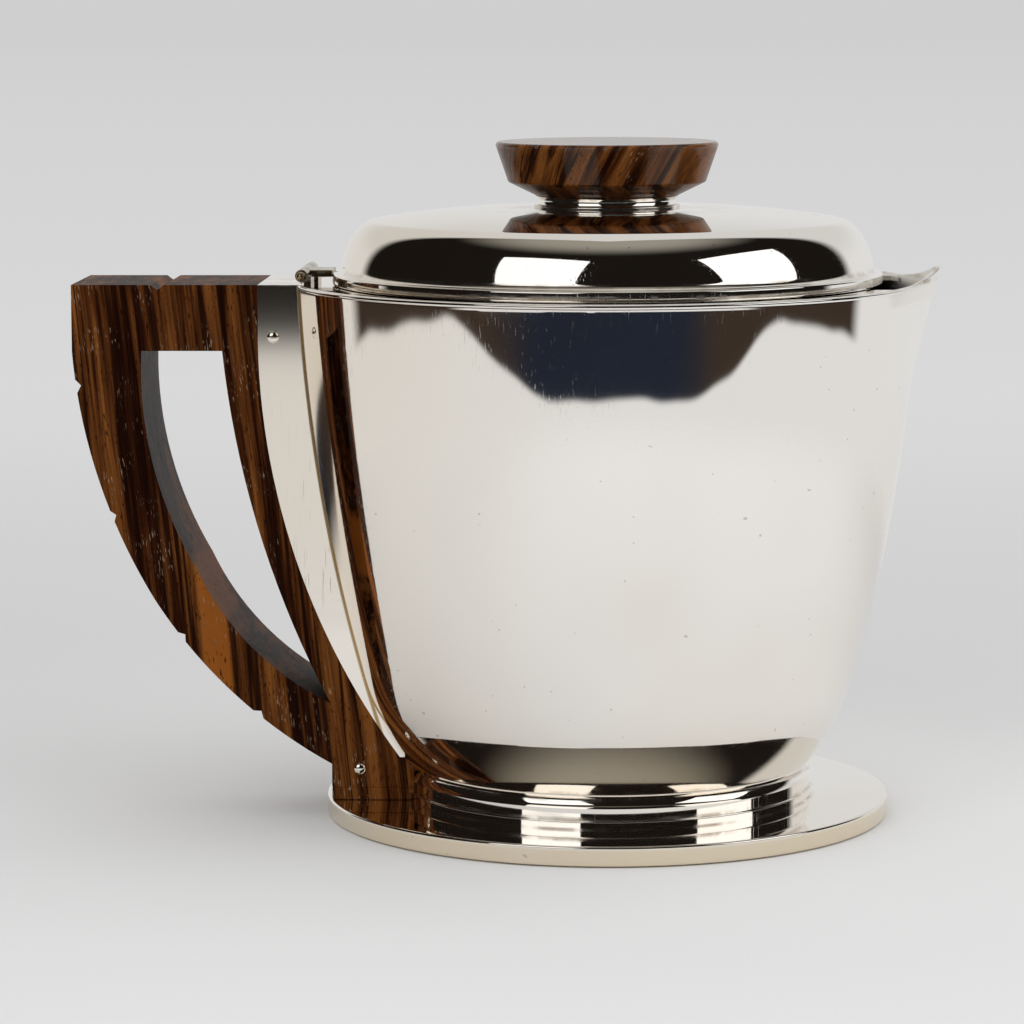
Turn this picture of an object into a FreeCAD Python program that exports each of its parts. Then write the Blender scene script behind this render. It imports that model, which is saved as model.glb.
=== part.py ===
import FreeCAD
import Part
import Sketcher
import math
import os
from types import SimpleNamespace

# Silver teapot with a slab handle and knob of dark wood.
# Millimetres, +Z up, +X towards the pouring lip, origin in the middle of the foot's underside.

SHEET_NAME = "Dimensions"

DIMENSIONS = {
    # Foot
    "foot_radius": 62.8,
    "foot_height": 4.3,
    "foot_band_wall": 1.2,
    "foot_plate_wall": 1.0,
    "foot_edge_round": 0.5,
    # Stem: two stepped rings between foot and body, stepped from the body's base radius
    "stem_wall": 4.1,
    "stem_lower_step": 0.4,
    "stem_lower_height": 2.0,
    "stem_upper_step": 1.0,
    "stem_wall_height": 2.5,
    "stem_cove_height": 2.0,
    "stem_cove_bend": 3.0,
    "stem_edge_round": 0.4,
    # Body: a flared bowl drawn with two arcs
    "body_base_radius": 44.6,
    "body_waist_radius": 54.6,
    "body_waist_height": 18.2,
    "body_rim_radius": 68.7,
    "body_height": 108.0,
    "body_low_bend": 62.0,
    "body_high_bend": 400.0,
    "body_wall": 1.0,
    "rim_wire_radius": 0.55,
    # Ledge inside the rim that carries the lid
    "seat_clearance": 0.8,
    "seat_depth": 0.5,
    "seat_wall": 1.1,
    # Pouring lip: plan sections, levels from the rim and juts from the rim radius
    "lip_wall": 1.0,
    "lip_low_drop": 34.0,
    "lip_low_jut": -3.5,
    "lip_low_root": 4.1,
    "lip_low_spread": 2.5,
    "lip_mid_drop": 14.0,
    "lip_mid_jut": 0.6,
    "lip_mid_root": 2.8,
    "lip_mid_spread": 14.0,
    "lip_top_drop": -4.6,
    "lip_top_jut": 5.2,
    "lip_top_root": 4.7,
    "lip_top_spread": 25.4,
    "lip_nose_share": 0.12,
    "lip_back_depth": 12.5,
    "lip_tip_rise": 4.0,
    "lip_edge_dip": 0.2,
    "lip_edge_setback": 7.7,
    "lip_edge_bend": 14.0,
    # Handle slab: juts from the rim radius, drops from the rim, rises from the body's base
    "handle_width": 30.0,
    "handle_jut": 48.5,
    "handle_back_drop": 14.8,
    "handle_knee_jut": 30.9,
    "handle_knee_rise": 38.2,
    "handle_back_bend": 125.0,
    "handle_low_bend": 108.0,
    "handle_toe_setback": 2.1,
    "handle_toe_rise": 1.6,
    "handle_pad_height": 2.9,
    "gap_top_drop": 14.5,
    "gap_outer_jut": 33.2,
    "gap_inner_jut": 15.4,
    "gap_knee_jut": 21.5,
    "gap_knee_rise": 45.0,
    "gap_tip_jut": 6.3,
    "gap_tip_rise": 15.2,
    "gap_outer_bend": 86.0,
    "gap_low_bend": 62.0,
    "gap_inner_bend": 215.0,
    "groove_width": 3.0,
    "groove_depth": 1.1,
    "groove_top_inset": 19.0,
    "groove_first_inset": 0.8,
    "groove_first_drop": 7.5,
    "groove_second_jut": 9.4,
    "groove_second_rise": 18.6,
    "groove_third_inset": 5.7,
    "groove_third_drop": 8.3,
    "groove_fourth_jut": 16.3,
    "groove_fourth_rise": 11.0,
    # Socket: a tapered silver box on the pot that takes the tenon of the handle
    "socket_jut": 7.5,
    "socket_shoulder_drop": 8.8,
    "socket_bend": 159.0,
    "socket_tip_jut": 1.0,
    "socket_tip_rise": 3.2,
    "socket_mid_jut": 13.615,
    "socket_mid_rise": 47.2,
    "socket_wall": 1.3,
    "tenon_top_jut": 1.7,
    "tenon_foot_setback": 3.8,
    "tenon_foot_rise": 55.2,
    "tenon_root": 2.2,
    "wood_clearance": 0.05,
    # Rivets and tang
    "rivet_radius": 1.0,
    "rivet_head_radius": 1.35,
    "rivet_head_height": 0.7,
    "rivet_clearance": 0.02,
    "socket_rivet_inset": 3.4,
    "socket_rivet_drop": 11.4,
    "tang_rivet_inset": 6.2,
    "tang_rivet_rise": 4.1,
    "tang_inset": 2.7,
    "tang_rise": 1.4,
    "tang_height": 5.4,
    "tang_width": 3.0,
    # Lid hinge
    "hinge_setback": 2.0,
    "hinge_rise": 2.3,
    "hinge_knuckle_radius": 1.4,
    "hinge_half_length": 13.0,
    "hinge_leaf_half_width": 5.0,
    "hinge_side_gap": 0.2,
    "hinge_pin_radius": 0.65,
    "hinge_clearance": 0.05,
    "hinge_ball_radius": 1.0,
    "hinge_saddle_inset": 0.5,
    "hinge_saddle_length": 1.6,
    "hinge_leaf_wall": 1.5,
    # Lid, stepped inwards from the rim
    "lid_gap": 0.1,
    "flange_setback": 7.9,
    "flange_height": 2.4,
    "flange_wall": 3.8,
    "flange_round": 0.4,
    "cove_depth": 2.1,
    "cove_height": 1.5,
    "cove_bend": 1.7,
    "lid_shoulder_step": 1.2,
    "lid_shoulder_height": 4.6,
    "lid_crown_step": 6.7,
    "lid_crown_height": 10.0,
    "lid_height": 12.8,
    "lid_shoulder_bend": 6.9,
    "lid_crown_bend": 226.0,
    "lid_pad_margin": 0.5,
    "lid_wall": 1.0,
    "bezel_setback": 2.2,
    "bezel_wall": 1.0,
    "bezel_depth": 4.5,
    "vent_radius": 0.8,
    "vent_reach": 46.0,
    # Knob stack
    "washer_radius": 16.1,
    "washer_height": 0.7,
    "collar_step": 0.7,
    "collar_waist": 0.4,
    "collar_height": 1.7,
    "knob_foot_step": 0.5,
    "knob_radius": 24.6,
    "knob_bevel_step": 2.7,
    "knob_bevel_height": 3.3,
    "knob_height": 12.0,
    "knob_edge_round": 0.8,
    "stud_radius": 2.0,
    "stud_clearance": 0.03,
    "stud_grip": 9.0,
    "nut_radius": 4.5,
    "nut_height": 3.0,
    "nut_tail": 0.8,
}


class Size:
    """A length that carries its value and the sheet formula behind it."""

    def __init__(self, value, formula):
        self.value = value
        self.formula = formula

    @staticmethod
    def of(number):
        return number if isinstance(number, Size) else Size(float(number), repr(float(number)))

    def _join(self, sign, other):
        other = Size.of(other)
        values = {
            "+": lambda: self.value + other.value,
            "-": lambda: self.value - other.value,
            "*": lambda: self.value * other.value,
            "/": lambda: self.value / other.value,
        }
        return Size(values[sign](), f"({self.formula} {sign} {other.formula})")

    def __add__(self, other):
        return self._join("+", other)

    def __sub__(self, other):
        return self._join("-", other)

    def __mul__(self, other):
        return self._join("*", other)

    def __truediv__(self, other):
        return self._join("/", other)

    def __radd__(self, other):
        return Size.of(other) + self

    def __rsub__(self, other):
        return Size.of(other) - self

    def __rmul__(self, other):
        return Size.of(other) * self

    def __neg__(self):
        return 0 - self


doc = FreeCAD.newDocument("Teapot")
sheet = doc.addObject("Spreadsheet::Sheet", SHEET_NAME)
for row, (name, number) in enumerate(DIMENSIONS.items(), start=1):
    sheet.set(f"A{row}", name)
    sheet.set(f"B{row}", str(number))
    sheet.setAlias(f"B{row}", name)
doc.recompute()
d = SimpleNamespace(**{name: Size(number, f"{SHEET_NAME}.{name}") for name, number in DIMENSIONS.items()})

X_AXIS = FreeCAD.Vector(1, 0, 0)
Y_AXIS = FreeCAD.Vector(0, 1, 0)
Z_AXIS = FreeCAD.Vector(0, 0, 1)
TO_HANDLE = (Z_AXIS, 180)
ACROSS = (X_AXIS, 90)

pieces = []


def keep(thing, label):
    """Give a finished sub-part its label and put it on the list to be written."""
    thing.Label = label
    pieces.append(thing)
    return thing


def bind(thing, **sizes):
    """Tie properties of an object to sheet formulas; __ in a name stands for a dot."""
    for name, size in sizes.items():
        thing.setExpression(name.replace("__", "."), Size.of(size).formula)


def place(thing, x=0, y=0, z=0, turn=None):
    """Tie a placement to the sheet, with an optional turn given as (axis, degrees)."""
    if turn:
        axis, degrees = turn
        thing.Placement = FreeCAD.Placement(FreeCAD.Vector(), FreeCAD.Rotation(axis, degrees))
    bind(thing, Placement__Base__x=x, Placement__Base__y=y, Placement__Base__z=z)
    return thing


def arc_between(start, end, bend, left):
    """Return the arc from start to end whose centre lies to the left or right of the chord."""
    chord = end - start
    rise = math.sqrt(max(bend * bend - chord.Length * chord.Length / 4, 0.0))
    side = FreeCAD.Vector(-chord.y, chord.x, 0).normalize()
    centre = (start + end) * 0.5 + side * (rise if left else -rise)
    first, last = (start, end) if left else (end, start)
    angle_first = math.atan2(first.y - centre.y, first.x - centre.x)
    angle_last = math.atan2(last.y - centre.y, last.x - centre.x)
    if angle_last < angle_first:
        angle_last += 2 * math.pi
    return Part.ArcOfCircle(Part.Circle(centre, Z_AXIS, bend), angle_first, angle_last)


def hold(sketch, name, kind, limits, size):
    """Add one dimension to a sketch and tie it to the sheet; the sign of size is in its limits."""
    size = Size.of(size)
    number = sketch.addConstraint(Sketcher.Constraint(kind, *limits, abs(size.value)))
    sketch.renameConstraint(number, name)
    bind(sketch, **{f"Constraints__{name}": size if size.value > 0 else -size})


def draw(sketch, corners):
    """Draw a closed outline. A corner is (x, y), or (x, y, bend) where an arc runs to the next corner.

    A positive bend keeps the arc's centre on the left of the way round, a negative one on the right.
    """
    points = [FreeCAD.Vector(Size.of(c[0]).value, Size.of(c[1]).value, 0) for c in corners]
    starts = []
    ends = []
    for index, corner in enumerate(corners):
        start = points[index]
        end = points[(index + 1) % len(points)]
        flipped = False
        if len(corner) == 2:
            sketch.addGeometry(Part.LineSegment(start, end), False)
        else:
            bend = Size.of(corner[2])
            flipped = bend.value < 0
            sketch.addGeometry(arc_between(start, end, abs(bend.value), not flipped), False)
            hold(sketch, f"bend_{index}", "Radius", (index,), bend)
        starts.append((index, 2 if flipped else 1))
        ends.append((index, 1 if flipped else 2))
    for index, corner in enumerate(corners):
        corner_at = starts[index]
        sketch.addConstraint(Sketcher.Constraint("Coincident", *ends[index - 1], *corner_at))
        for kind, axis_line, size in (("DistanceX", -2, corner[0]), ("DistanceY", -1, corner[1])):
            size = Size.of(size)
            if abs(size.value) < 1e-9:
                sketch.addConstraint(Sketcher.Constraint("PointOnObject", *corner_at, axis_line))
                continue
            limits = (-1, 1, *corner_at) if size.value > 0 else (*corner_at, -1, 1)
            hold(sketch, f"{kind}_{index}", kind, limits, size)


def sketch_on(body, name, plane, corners, level=None):
    """Add a sketch to a body on one of its own planes and draw an outline in it."""
    sketch = body.newObject("Sketcher::SketchObject", name)
    support = [part for part in body.Origin.OriginFeatures if part.Role == plane][0]
    sketch.AttachmentSupport = [(support, "")]
    sketch.MapMode = "FlatFace"
    if level is not None:
        bind(sketch, AttachmentOffset__Base__z=level)
    draw(sketch, corners)
    return sketch


def turned(name, corners):
    """Make a body by turning an outline of (radius, height) corners about the upright axis."""
    body = doc.addObject("PartDesign::Body", name)
    sketch = sketch_on(body, f"{name}_profile", "XZ_Plane", corners)
    turning = body.newObject("PartDesign::Revolution", f"{name}_turning")
    turning.Profile = sketch
    turning.ReferenceAxis = (sketch, ["V_Axis"])
    turning.Angle = 360
    return body


def slab(name, corners, width):
    """Make a body from an outline in the XZ plane, as thick as width and centred on it."""
    body = doc.addObject("PartDesign::Body", name)
    sketch = sketch_on(body, f"{name}_outline", "XZ_Plane", corners)
    pad = body.newObject("PartDesign::Pad", f"{name}_pad")
    pad.Profile = sketch
    pad.SideType = "Symmetric"
    bind(pad, Length=width)
    return body


def box(name, x, y, z, length, width, height):
    """Make a block with its low corner at x, y, z."""
    block = doc.addObject("Part::Box", name)
    bind(block, Length=length, Width=width, Height=height)
    return place(block, x, y, z)


def rod(name, radius, length, x=0, y=0, z=0, turn=None):
    """Make a cylinder."""
    bar = doc.addObject("Part::Cylinder", name)
    bind(bar, Radius=radius, Height=length)
    return place(bar, x, y, z, turn)


def across(name, radius, length, reach, level):
    """Make a rod that runs across the handle or hinge, centred on the XZ plane."""
    return rod(name, radius, length, -reach, length / 2, level, ACROSS)


def cut(name, base, tool):
    """Take one shape away from another."""
    result = doc.addObject("Part::Cut", name)
    result.Base = base
    result.Tool = tool
    return result


def fuse(name, *shapes):
    """Join shapes that run into each other."""
    result = doc.addObject("Part::MultiFuse", name)
    result.Shapes = list(shapes)
    result.Refine = True
    return result


# Levels along the pot's axis
stem_upper_level = d.foot_height + d.stem_lower_height
stem_upper_height = d.stem_wall_height + d.stem_cove_height
base_level = stem_upper_level + stem_upper_height
rim_level = base_level + d.body_height
seat_level = rim_level - d.seat_depth
flange_level = seat_level + d.lid_gap
dome_level = flange_level + d.flange_height + d.cove_height
knob_level = dome_level + d.lid_height
pad_top = d.foot_height + d.handle_pad_height

# Radii and reaches from the pot's axis
stem_bore = d.body_base_radius - d.stem_wall
stem_lower_radius = d.body_base_radius + d.stem_lower_step
stem_upper_radius = d.body_base_radius - d.stem_upper_step
flange_radius = d.body_rim_radius - d.flange_setback
flange_bore = flange_radius - d.flange_wall
dome_radius = flange_radius - d.cove_depth
bezel_radius = flange_radius - d.bezel_setback
handle_reach = d.body_rim_radius + d.handle_jut
knee_reach = d.body_rim_radius + d.handle_knee_jut
toe_reach = d.foot_radius - d.handle_toe_setback
socket_reach = d.body_rim_radius + d.socket_jut
socket_mid = d.body_waist_radius + d.socket_mid_jut
socket_tip = d.body_base_radius + d.socket_tip_jut
hidden_reach = stem_bore
hinge_reach = d.body_rim_radius - d.hinge_setback
hinge_level = seat_level + d.hinge_rise
stud_hole = d.stud_radius + d.stud_clearance

# Handle levels
back_level = rim_level - d.handle_back_drop
knee_level = base_level + d.handle_knee_rise
toe_level = base_level + d.handle_toe_rise
shoulder_level = rim_level - d.socket_shoulder_drop
socket_mid_level = base_level + d.socket_mid_rise
socket_tip_level = base_level + d.socket_tip_rise
tang_level = pad_top + d.tang_rise
tang_reach = toe_reach - d.tang_inset
socket_rivet_at = (socket_reach - d.socket_rivet_inset, rim_level - d.socket_rivet_drop)
tang_rivet_at = (toe_reach - d.tang_rivet_inset, pad_top + d.tang_rivet_rise)

# Grooves across the handle's edge: reach, level and how far below the level the edge faces, in degrees
GROOVES = [
    (handle_reach - d.groove_first_inset, back_level - d.groove_first_drop, 9.0),
    (knee_reach + d.groove_second_jut, knee_level + d.groove_second_rise, 21.0),
    (knee_reach - d.groove_third_inset, knee_level - d.groove_third_drop, 38.0),
    (toe_reach + d.groove_fourth_jut, toe_level + d.groove_fourth_rise, 51.0),
    (handle_reach - d.groove_top_inset, rim_level, 270.0),
]


def make_foot():
    """Make the hollow foot: an edge band, a top plate and a flat bottom disc."""
    inside = d.foot_radius - d.foot_band_wall
    rounded = d.foot_edge_round
    keep(turned("FootBand", [
        (inside, 0),
        (d.foot_radius - rounded, 0, rounded),
        (d.foot_radius, rounded),
        (d.foot_radius, d.foot_height - rounded, rounded),
        (d.foot_radius - rounded, d.foot_height),
        (inside, d.foot_height),
    ]), "foot_edge_band")
    plate = turned("FootPlate", [
        (stem_bore, 0),
        (inside, 0),
        (inside, d.foot_plate_wall),
        (stem_bore, d.foot_plate_wall),
    ])
    keep(place(plate, z=d.foot_height - d.foot_plate_wall), "foot_plate")
    keep(rod("FootDisc", inside, d.foot_plate_wall), "foot_base_disc")


def make_stem():
    """Make the two stepped rings that carry the body."""
    rounded = d.stem_edge_round
    lower = turned("StemLower", [
        (stem_bore, 0),
        (stem_lower_radius, 0),
        (stem_lower_radius, d.stem_lower_height - rounded, rounded),
        (stem_lower_radius - rounded, d.stem_lower_height),
        (stem_bore, d.stem_lower_height),
    ])
    keep(place(lower, z=d.foot_height), "stem_ring_lower")
    upper = turned("StemUpper", [
        (stem_bore, 0),
        (stem_upper_radius, 0),
        (stem_upper_radius, d.stem_wall_height, -d.stem_cove_bend),
        (d.body_base_radius, stem_upper_height),
        (stem_bore, stem_upper_height),
    ])
    keep(place(upper, z=stem_upper_level), "stem_ring_upper")


def pot_envelope(name, clearance=0.0):
    """Make the solid outside form of body and stem, used to fit other pieces against it."""
    top = rim_level + d.lip_tip_rise * 3
    bowl = turned(f"{name}Bowl", [
        (0, base_level),
        (d.body_base_radius + clearance, base_level, d.body_low_bend),
        (d.body_waist_radius + clearance, base_level + d.body_waist_height, d.body_high_bend),
        (d.body_rim_radius + clearance, rim_level),
        (d.body_rim_radius + clearance, top),
        (0, top),
    ])
    stem = rod(f"{name}Stem", stem_lower_radius + clearance, base_level)
    return fuse(name, bowl, stem)


def lip_loft(name, inset):
    """Make a solid beak through the three plan sections, each with a rounded nose, drawn in by inset."""
    body = doc.addObject("PartDesign::Body", name)
    back = d.body_rim_radius - d.lip_back_depth
    sections = []
    for place_name in ("low", "mid", "top"):
        reach = d.body_rim_radius + getattr(d, f"lip_{place_name}_jut") - inset
        root = d.body_rim_radius - getattr(d, f"lip_{place_name}_root") - inset
        spread = getattr(d, f"lip_{place_name}_spread") - inset * 0.5
        level = d.body_height - getattr(d, f"lip_{place_name}_drop")
        nose = spread * d.lip_nose_share
        shoulder = reach - nose * 0.2
        sections.append(sketch_on(body, f"{name}_{place_name}", "XY_Plane", [
            (back, -spread),
            (root, -spread),
            (shoulder, -nose, nose * 2.6),
            (shoulder, nose),
            (root, spread),
            (back, spread),
        ], level))
    loft = body.newObject("PartDesign::AdditiveLoft", f"{name}_loft")
    loft.Profile = sections[0]
    loft.Sections = sections[1:]
    return place(body, z=base_level)


def make_body():
    """Make the bowl, its pouring lip, the rim wire and the ledge for the lid."""
    wall = d.body_wall
    bowl = turned("Bowl", [
        (0, 0),
        (d.body_base_radius, 0, d.body_low_bend),
        (d.body_waist_radius, d.body_waist_height, d.body_high_bend),
        (d.body_rim_radius, d.body_height),
        (d.body_rim_radius - wall, d.body_height, wall - d.body_high_bend),
        (d.body_waist_radius - wall, d.body_waist_height, wall - d.body_low_bend),
        (d.body_base_radius - wall, wall),
        (0, wall),
    ])
    place(bowl, z=base_level)
    keep(cut("BowlWithMouth", bowl, lip_loft("MouthInBowl", d.lip_wall)), "body_shell")

    hollow_lip = cut("LipSheet", lip_loft("LipOutside", 0), lip_loft("LipInside", d.lip_wall))
    outside_pot = cut("LipOnPot", hollow_lip, pot_envelope("LipPot"))
    edge_start = d.body_rim_radius - d.lip_edge_setback
    tip_reach = d.body_rim_radius + d.lip_top_jut
    tip_level = rim_level + d.lip_tip_rise
    beyond = d.lip_tip_rise
    trim = slab("LipTrim", [
        (edge_start, rim_level - d.lip_edge_dip, d.lip_edge_bend),
        (tip_reach, tip_level),
        (tip_reach + beyond, tip_level),
        (tip_reach + beyond, tip_level + beyond),
        (edge_start, tip_level + beyond),
    ], d.lip_top_spread * 3)
    keep(cut("LipTrimmed", outside_pot, trim), "pouring_lip")

    seat = turned("Seat", [
        (bezel_radius + d.seat_clearance, 0),
        (d.body_rim_radius - wall, 0),
        (d.body_rim_radius - wall, d.seat_wall),
        (bezel_radius + d.seat_clearance, d.seat_wall),
    ])
    place(seat, z=seat_level - d.seat_wall)
    seat_open = cut("SeatWithMouth", seat, lip_loft("MouthInSeat", d.lip_wall))
    keep(cut("SeatInBowl", seat_open, bowl), "lid_seat")

    bead = d.rim_wire_radius
    wire = turned("RimWire", [
        (d.body_rim_radius, 0),
        (d.body_rim_radius + bead, bead / 2),
        (d.body_rim_radius + bead, bead * 3 / 2),
        (d.body_rim_radius, bead * 2),
    ])
    place(wire, z=rim_level - bead * 2)
    room = bead * 4
    handle_side = box("WireHandleCut", -d.body_rim_radius - room, -d.handle_width / 2,
                      rim_level - room, d.body_rim_radius, d.handle_width, room * 2)
    lip_side = box("WireLipCut", d.body_rim_radius - d.lip_back_depth, -d.lip_top_spread,
                   rim_level - room, d.body_rim_radius, d.lip_top_spread * 2, room * 2)
    open_wire = cut("RimWireOpen", wire, fuse("WireCuts", handle_side, lip_side))
    keep(cut("RimWireOnBowl", open_wire, bowl), "rim_wire")


def tenon(name, clearance=0.0):
    """Make the tongue of the handle that fills the socket, or the room for it."""
    low = base_level + d.tenon_foot_rise - clearance
    high = rim_level - d.socket_wall - d.wood_clearance + clearance
    return place(slab(name, [
        (d.body_rim_radius - d.tenon_foot_setback - clearance, low),
        (socket_reach - d.tenon_root, low),
        (socket_reach + d.tenon_root, high),
        (d.body_rim_radius + d.tenon_top_jut - clearance, high),
    ], d.handle_width - d.socket_wall * 2 + clearance * 2), turn=TO_HANDLE)


def make_rivet(name, label, reach, level):
    """Make a rivet across the handle with a low domed head at each end."""
    half = d.handle_width / 2
    dome = d.rivet_head_radius * d.rivet_head_radius + d.rivet_head_height * d.rivet_head_height
    dome = dome / (d.rivet_head_height * 2)
    sunk = half + d.rivet_head_height - dome
    parts = [across(name, d.rivet_radius, d.handle_width, reach, level)]
    for end, way in (("Near", -1), ("Far", 1)):
        ball = doc.addObject("Part::Sphere", f"{name}{end}")
        bind(ball, Radius=dome)
        place(ball, -reach, sunk * way, level)
        parts.append(ball)
    slice_off = box(f"{name}Inside", -reach - dome, -half, level - dome, dome * 2, d.handle_width, dome * 2)
    heads = cut(f"{name}Heads", fuse(f"{name}Balls", *parts[1:]), slice_off)
    keep(fuse(f"{name}Whole", parts[0], heads), label)


def groove(name, reach, level, slope):
    """Make the wedge that cuts one groove across the handle's edge."""
    wedge = slab(name, [
        (-d.groove_depth, 0),
        (d.groove_depth, -d.groove_width),
        (d.groove_depth, d.groove_width),
    ], d.handle_width * 2)
    return place(wedge, -reach, 0, level, (Y_AXIS, 180 - slope))


def rivet_hole(name, spot):
    """Make the drill for a rivet hole right through the handle."""
    return across(name, d.rivet_radius + d.rivet_clearance, d.handle_width * 2, *spot)


def make_handle():
    """Make the wooden slab with its finger gap, grooves, tenon and slot for the tang."""
    blank = slab("HandleBlank", [
        (socket_reach, rim_level),
        (socket_reach, shoulder_level, -d.socket_bend),
        (socket_mid, socket_mid_level, -d.socket_bend),
        (socket_tip, socket_tip_level),
        (hidden_reach, socket_tip_level),
        (hidden_reach, pad_top),
        (toe_reach, pad_top),
        (toe_reach, toe_level, d.handle_low_bend),
        (knee_reach, knee_level, d.handle_back_bend),
        (handle_reach, back_level),
        (handle_reach, rim_level),
    ], d.handle_width)
    gap_top = rim_level - d.gap_top_drop
    gap = slab("FingerGap", [
        (d.body_rim_radius + d.gap_inner_jut, gap_top),
        (d.body_rim_radius + d.gap_outer_jut, gap_top, -d.gap_outer_bend),
        (d.body_rim_radius + d.gap_knee_jut, base_level + d.gap_knee_rise, -d.gap_low_bend),
        (d.body_waist_radius + d.gap_tip_jut, base_level + d.gap_tip_rise, d.gap_inner_bend),
    ], d.handle_width * 2)
    for body in (blank, gap):
        place(body, turn=TO_HANDLE)
    grooves = [groove(f"Groove{index}", *spot) for index, spot in enumerate(GROOVES, start=1)]
    room = d.wood_clearance
    tang_slot = box("TangSlot", -tang_reach - room, -d.tang_width / 2 - room, tang_level - room,
                    tang_reach, d.tang_width + room * 2, d.tang_height + room * 2)
    holes = [rivet_hole("GripHoleTop", socket_rivet_at), rivet_hole("GripHoleLow", tang_rivet_at)]
    wood = fuse("HandleWood", blank, tenon("Tenon"))
    fitted = cut("HandleFitted", wood, pot_envelope("HandlePot", d.wood_clearance))
    keep(cut("HandleGrip", fitted, fuse("HandleWaste", gap, tang_slot, *grooves, *holes)), "handle_grip")

    pad = box("HandlePad", -toe_reach, -d.handle_width / 2, d.foot_height,
              toe_reach - hidden_reach, d.handle_width, d.handle_pad_height)
    keep(cut("HandlePadFitted", pad, pot_envelope("PadPot", d.wood_clearance)), "handle_foot_pad")


def make_socket():
    """Make the tapered silver socket, the tang in the lower end of the wood and both rivets."""
    crescent = place(slab("SocketCrescent", [
        (socket_reach, rim_level),
        (hidden_reach, rim_level),
        (hidden_reach, socket_tip_level),
        (socket_tip, socket_tip_level, d.socket_bend),
        (socket_mid, socket_mid_level, d.socket_bend),
        (socket_reach, shoulder_level),
    ], d.handle_width), turn=TO_HANDLE)
    waste = fuse("SocketWaste", tenon("TenonRoom", d.wood_clearance), rivet_hole("SocketHole", socket_rivet_at))
    soldered = cut("SocketOnPot", crescent, pot_envelope("SocketPot"))
    keep(cut("SocketHollow", soldered, waste), "handle_socket")

    strip = box("TangStrip", -tang_reach, -d.tang_width / 2, tang_level,
                tang_reach - hidden_reach, d.tang_width, d.tang_height)
    on_pot = cut("TangOnPot", strip, pot_envelope("TangPot"))
    keep(cut("TangDrilled", on_pot, rivet_hole("TangHole", tang_rivet_at)), "handle_tang")
    make_rivet("SocketRivet", "socket_rivet", *socket_rivet_at)
    make_rivet("TangRivet", "tang_rivet", *tang_rivet_at)


def make_hinge():
    """Make the hinge: two knuckles on the pot, a leaf with its own knuckle on the lid, and a pin."""
    inner = d.hinge_leaf_half_width + d.hinge_side_gap
    length = d.hinge_half_length - inner
    bore = d.hinge_pin_radius + d.hinge_clearance
    whole = d.hinge_half_length * 4
    saddle_far = hinge_reach - d.hinge_saddle_inset
    knuckles = []
    for end, start in (("Near", -inner), ("Far", d.hinge_half_length)):
        tube = rod(f"Knuckle{end}", d.hinge_knuckle_radius, length, -hinge_reach, start, hinge_level, ACROSS)
        saddle = box(f"Saddle{end}", -saddle_far, start - length, seat_level,
                     d.hinge_saddle_length, length, d.hinge_rise)
        knuckles.append(fuse(f"Knuckle{end}Whole", tube, saddle))
    pot_bore = across("KnuckleBore", bore, whole, hinge_reach, hinge_level)
    keep(cut("PotKnuckles", fuse("KnucklePair", *knuckles), pot_bore), "hinge_knuckles")

    leaf_width = d.hinge_leaf_half_width * 2
    tube = across("LeafTube", d.hinge_knuckle_radius, leaf_width, hinge_reach, hinge_level)
    plate = box("LeafPlate", -hinge_reach, -d.hinge_leaf_half_width, hinge_level - d.hinge_leaf_wall / 2,
                hinge_reach - flange_bore, leaf_width, d.hinge_leaf_wall)
    flange_room = rod("LeafFlangeRoom", flange_radius, d.flange_height * 4, z=flange_level - d.flange_height)
    leaf = cut("LeafFitted", fuse("Leaf", tube, plate), flange_room)
    leaf_bore = across("LeafBore", bore, whole, hinge_reach, hinge_level)
    keep(cut("LeafDrilled", leaf, leaf_bore), "lid_hinge_leaf")

    ball_middle = d.hinge_half_length + d.hinge_ball_radius
    parts = [across("HingeShaft", d.hinge_pin_radius, ball_middle * 2, hinge_reach, hinge_level)]
    for end, way in (("Near", -1), ("Far", 1)):
        ball = doc.addObject("Part::Sphere", f"HingeBall{end}")
        bind(ball, Radius=d.hinge_ball_radius)
        parts.append(place(ball, -hinge_reach, ball_middle * way, hinge_level))
    keep(fuse("HingePin", *parts), "hinge_pin")


def make_lid():
    """Make the lid: flange with its cove, domed shell with a steam hole, and the bezel below."""
    rounded = d.flange_round
    cove_top = d.flange_height + d.cove_height
    flange = turned("Flange", [
        (flange_bore, 0),
        (flange_radius - rounded, 0, rounded),
        (flange_radius, rounded),
        (flange_radius, d.flange_height - rounded, rounded),
        (flange_radius - rounded, d.flange_height, -d.cove_bend),
        (dome_radius, cove_top),
        (flange_bore, cove_top),
    ])
    keep(place(flange, z=flange_level), "lid_flange")

    wall = d.lid_wall
    shoulder = dome_radius - d.lid_shoulder_step
    crown = dome_radius - d.lid_crown_step
    pad = d.washer_radius + d.lid_pad_margin
    dome = turned("Dome", [
        (dome_radius - wall, 0),
        (dome_radius, 0),
        (shoulder, d.lid_shoulder_height, d.lid_shoulder_bend),
        (crown, d.lid_crown_height, d.lid_crown_bend),
        (pad, d.lid_height),
        (stud_hole, d.lid_height),
        (stud_hole, d.lid_height - wall),
        (pad, d.lid_height - wall, wall - d.lid_crown_bend),
        (crown, d.lid_crown_height - wall, wall - d.lid_shoulder_bend),
        (shoulder - wall, d.lid_shoulder_height),
    ])
    place(dome, z=dome_level)
    vent = rod("Vent", d.vent_radius, d.lid_height, d.vent_reach, 0, dome_level + d.lid_height / 2)
    keep(cut("DomeVented", dome, vent), "lid_shell")

    bezel = turned("Bezel", [
        (bezel_radius - d.bezel_wall, 0),
        (bezel_radius, 0),
        (bezel_radius, d.bezel_depth),
        (bezel_radius - d.bezel_wall, d.bezel_depth),
    ])
    keep(place(bezel, z=flange_level - d.bezel_depth), "lid_bezel")


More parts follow.
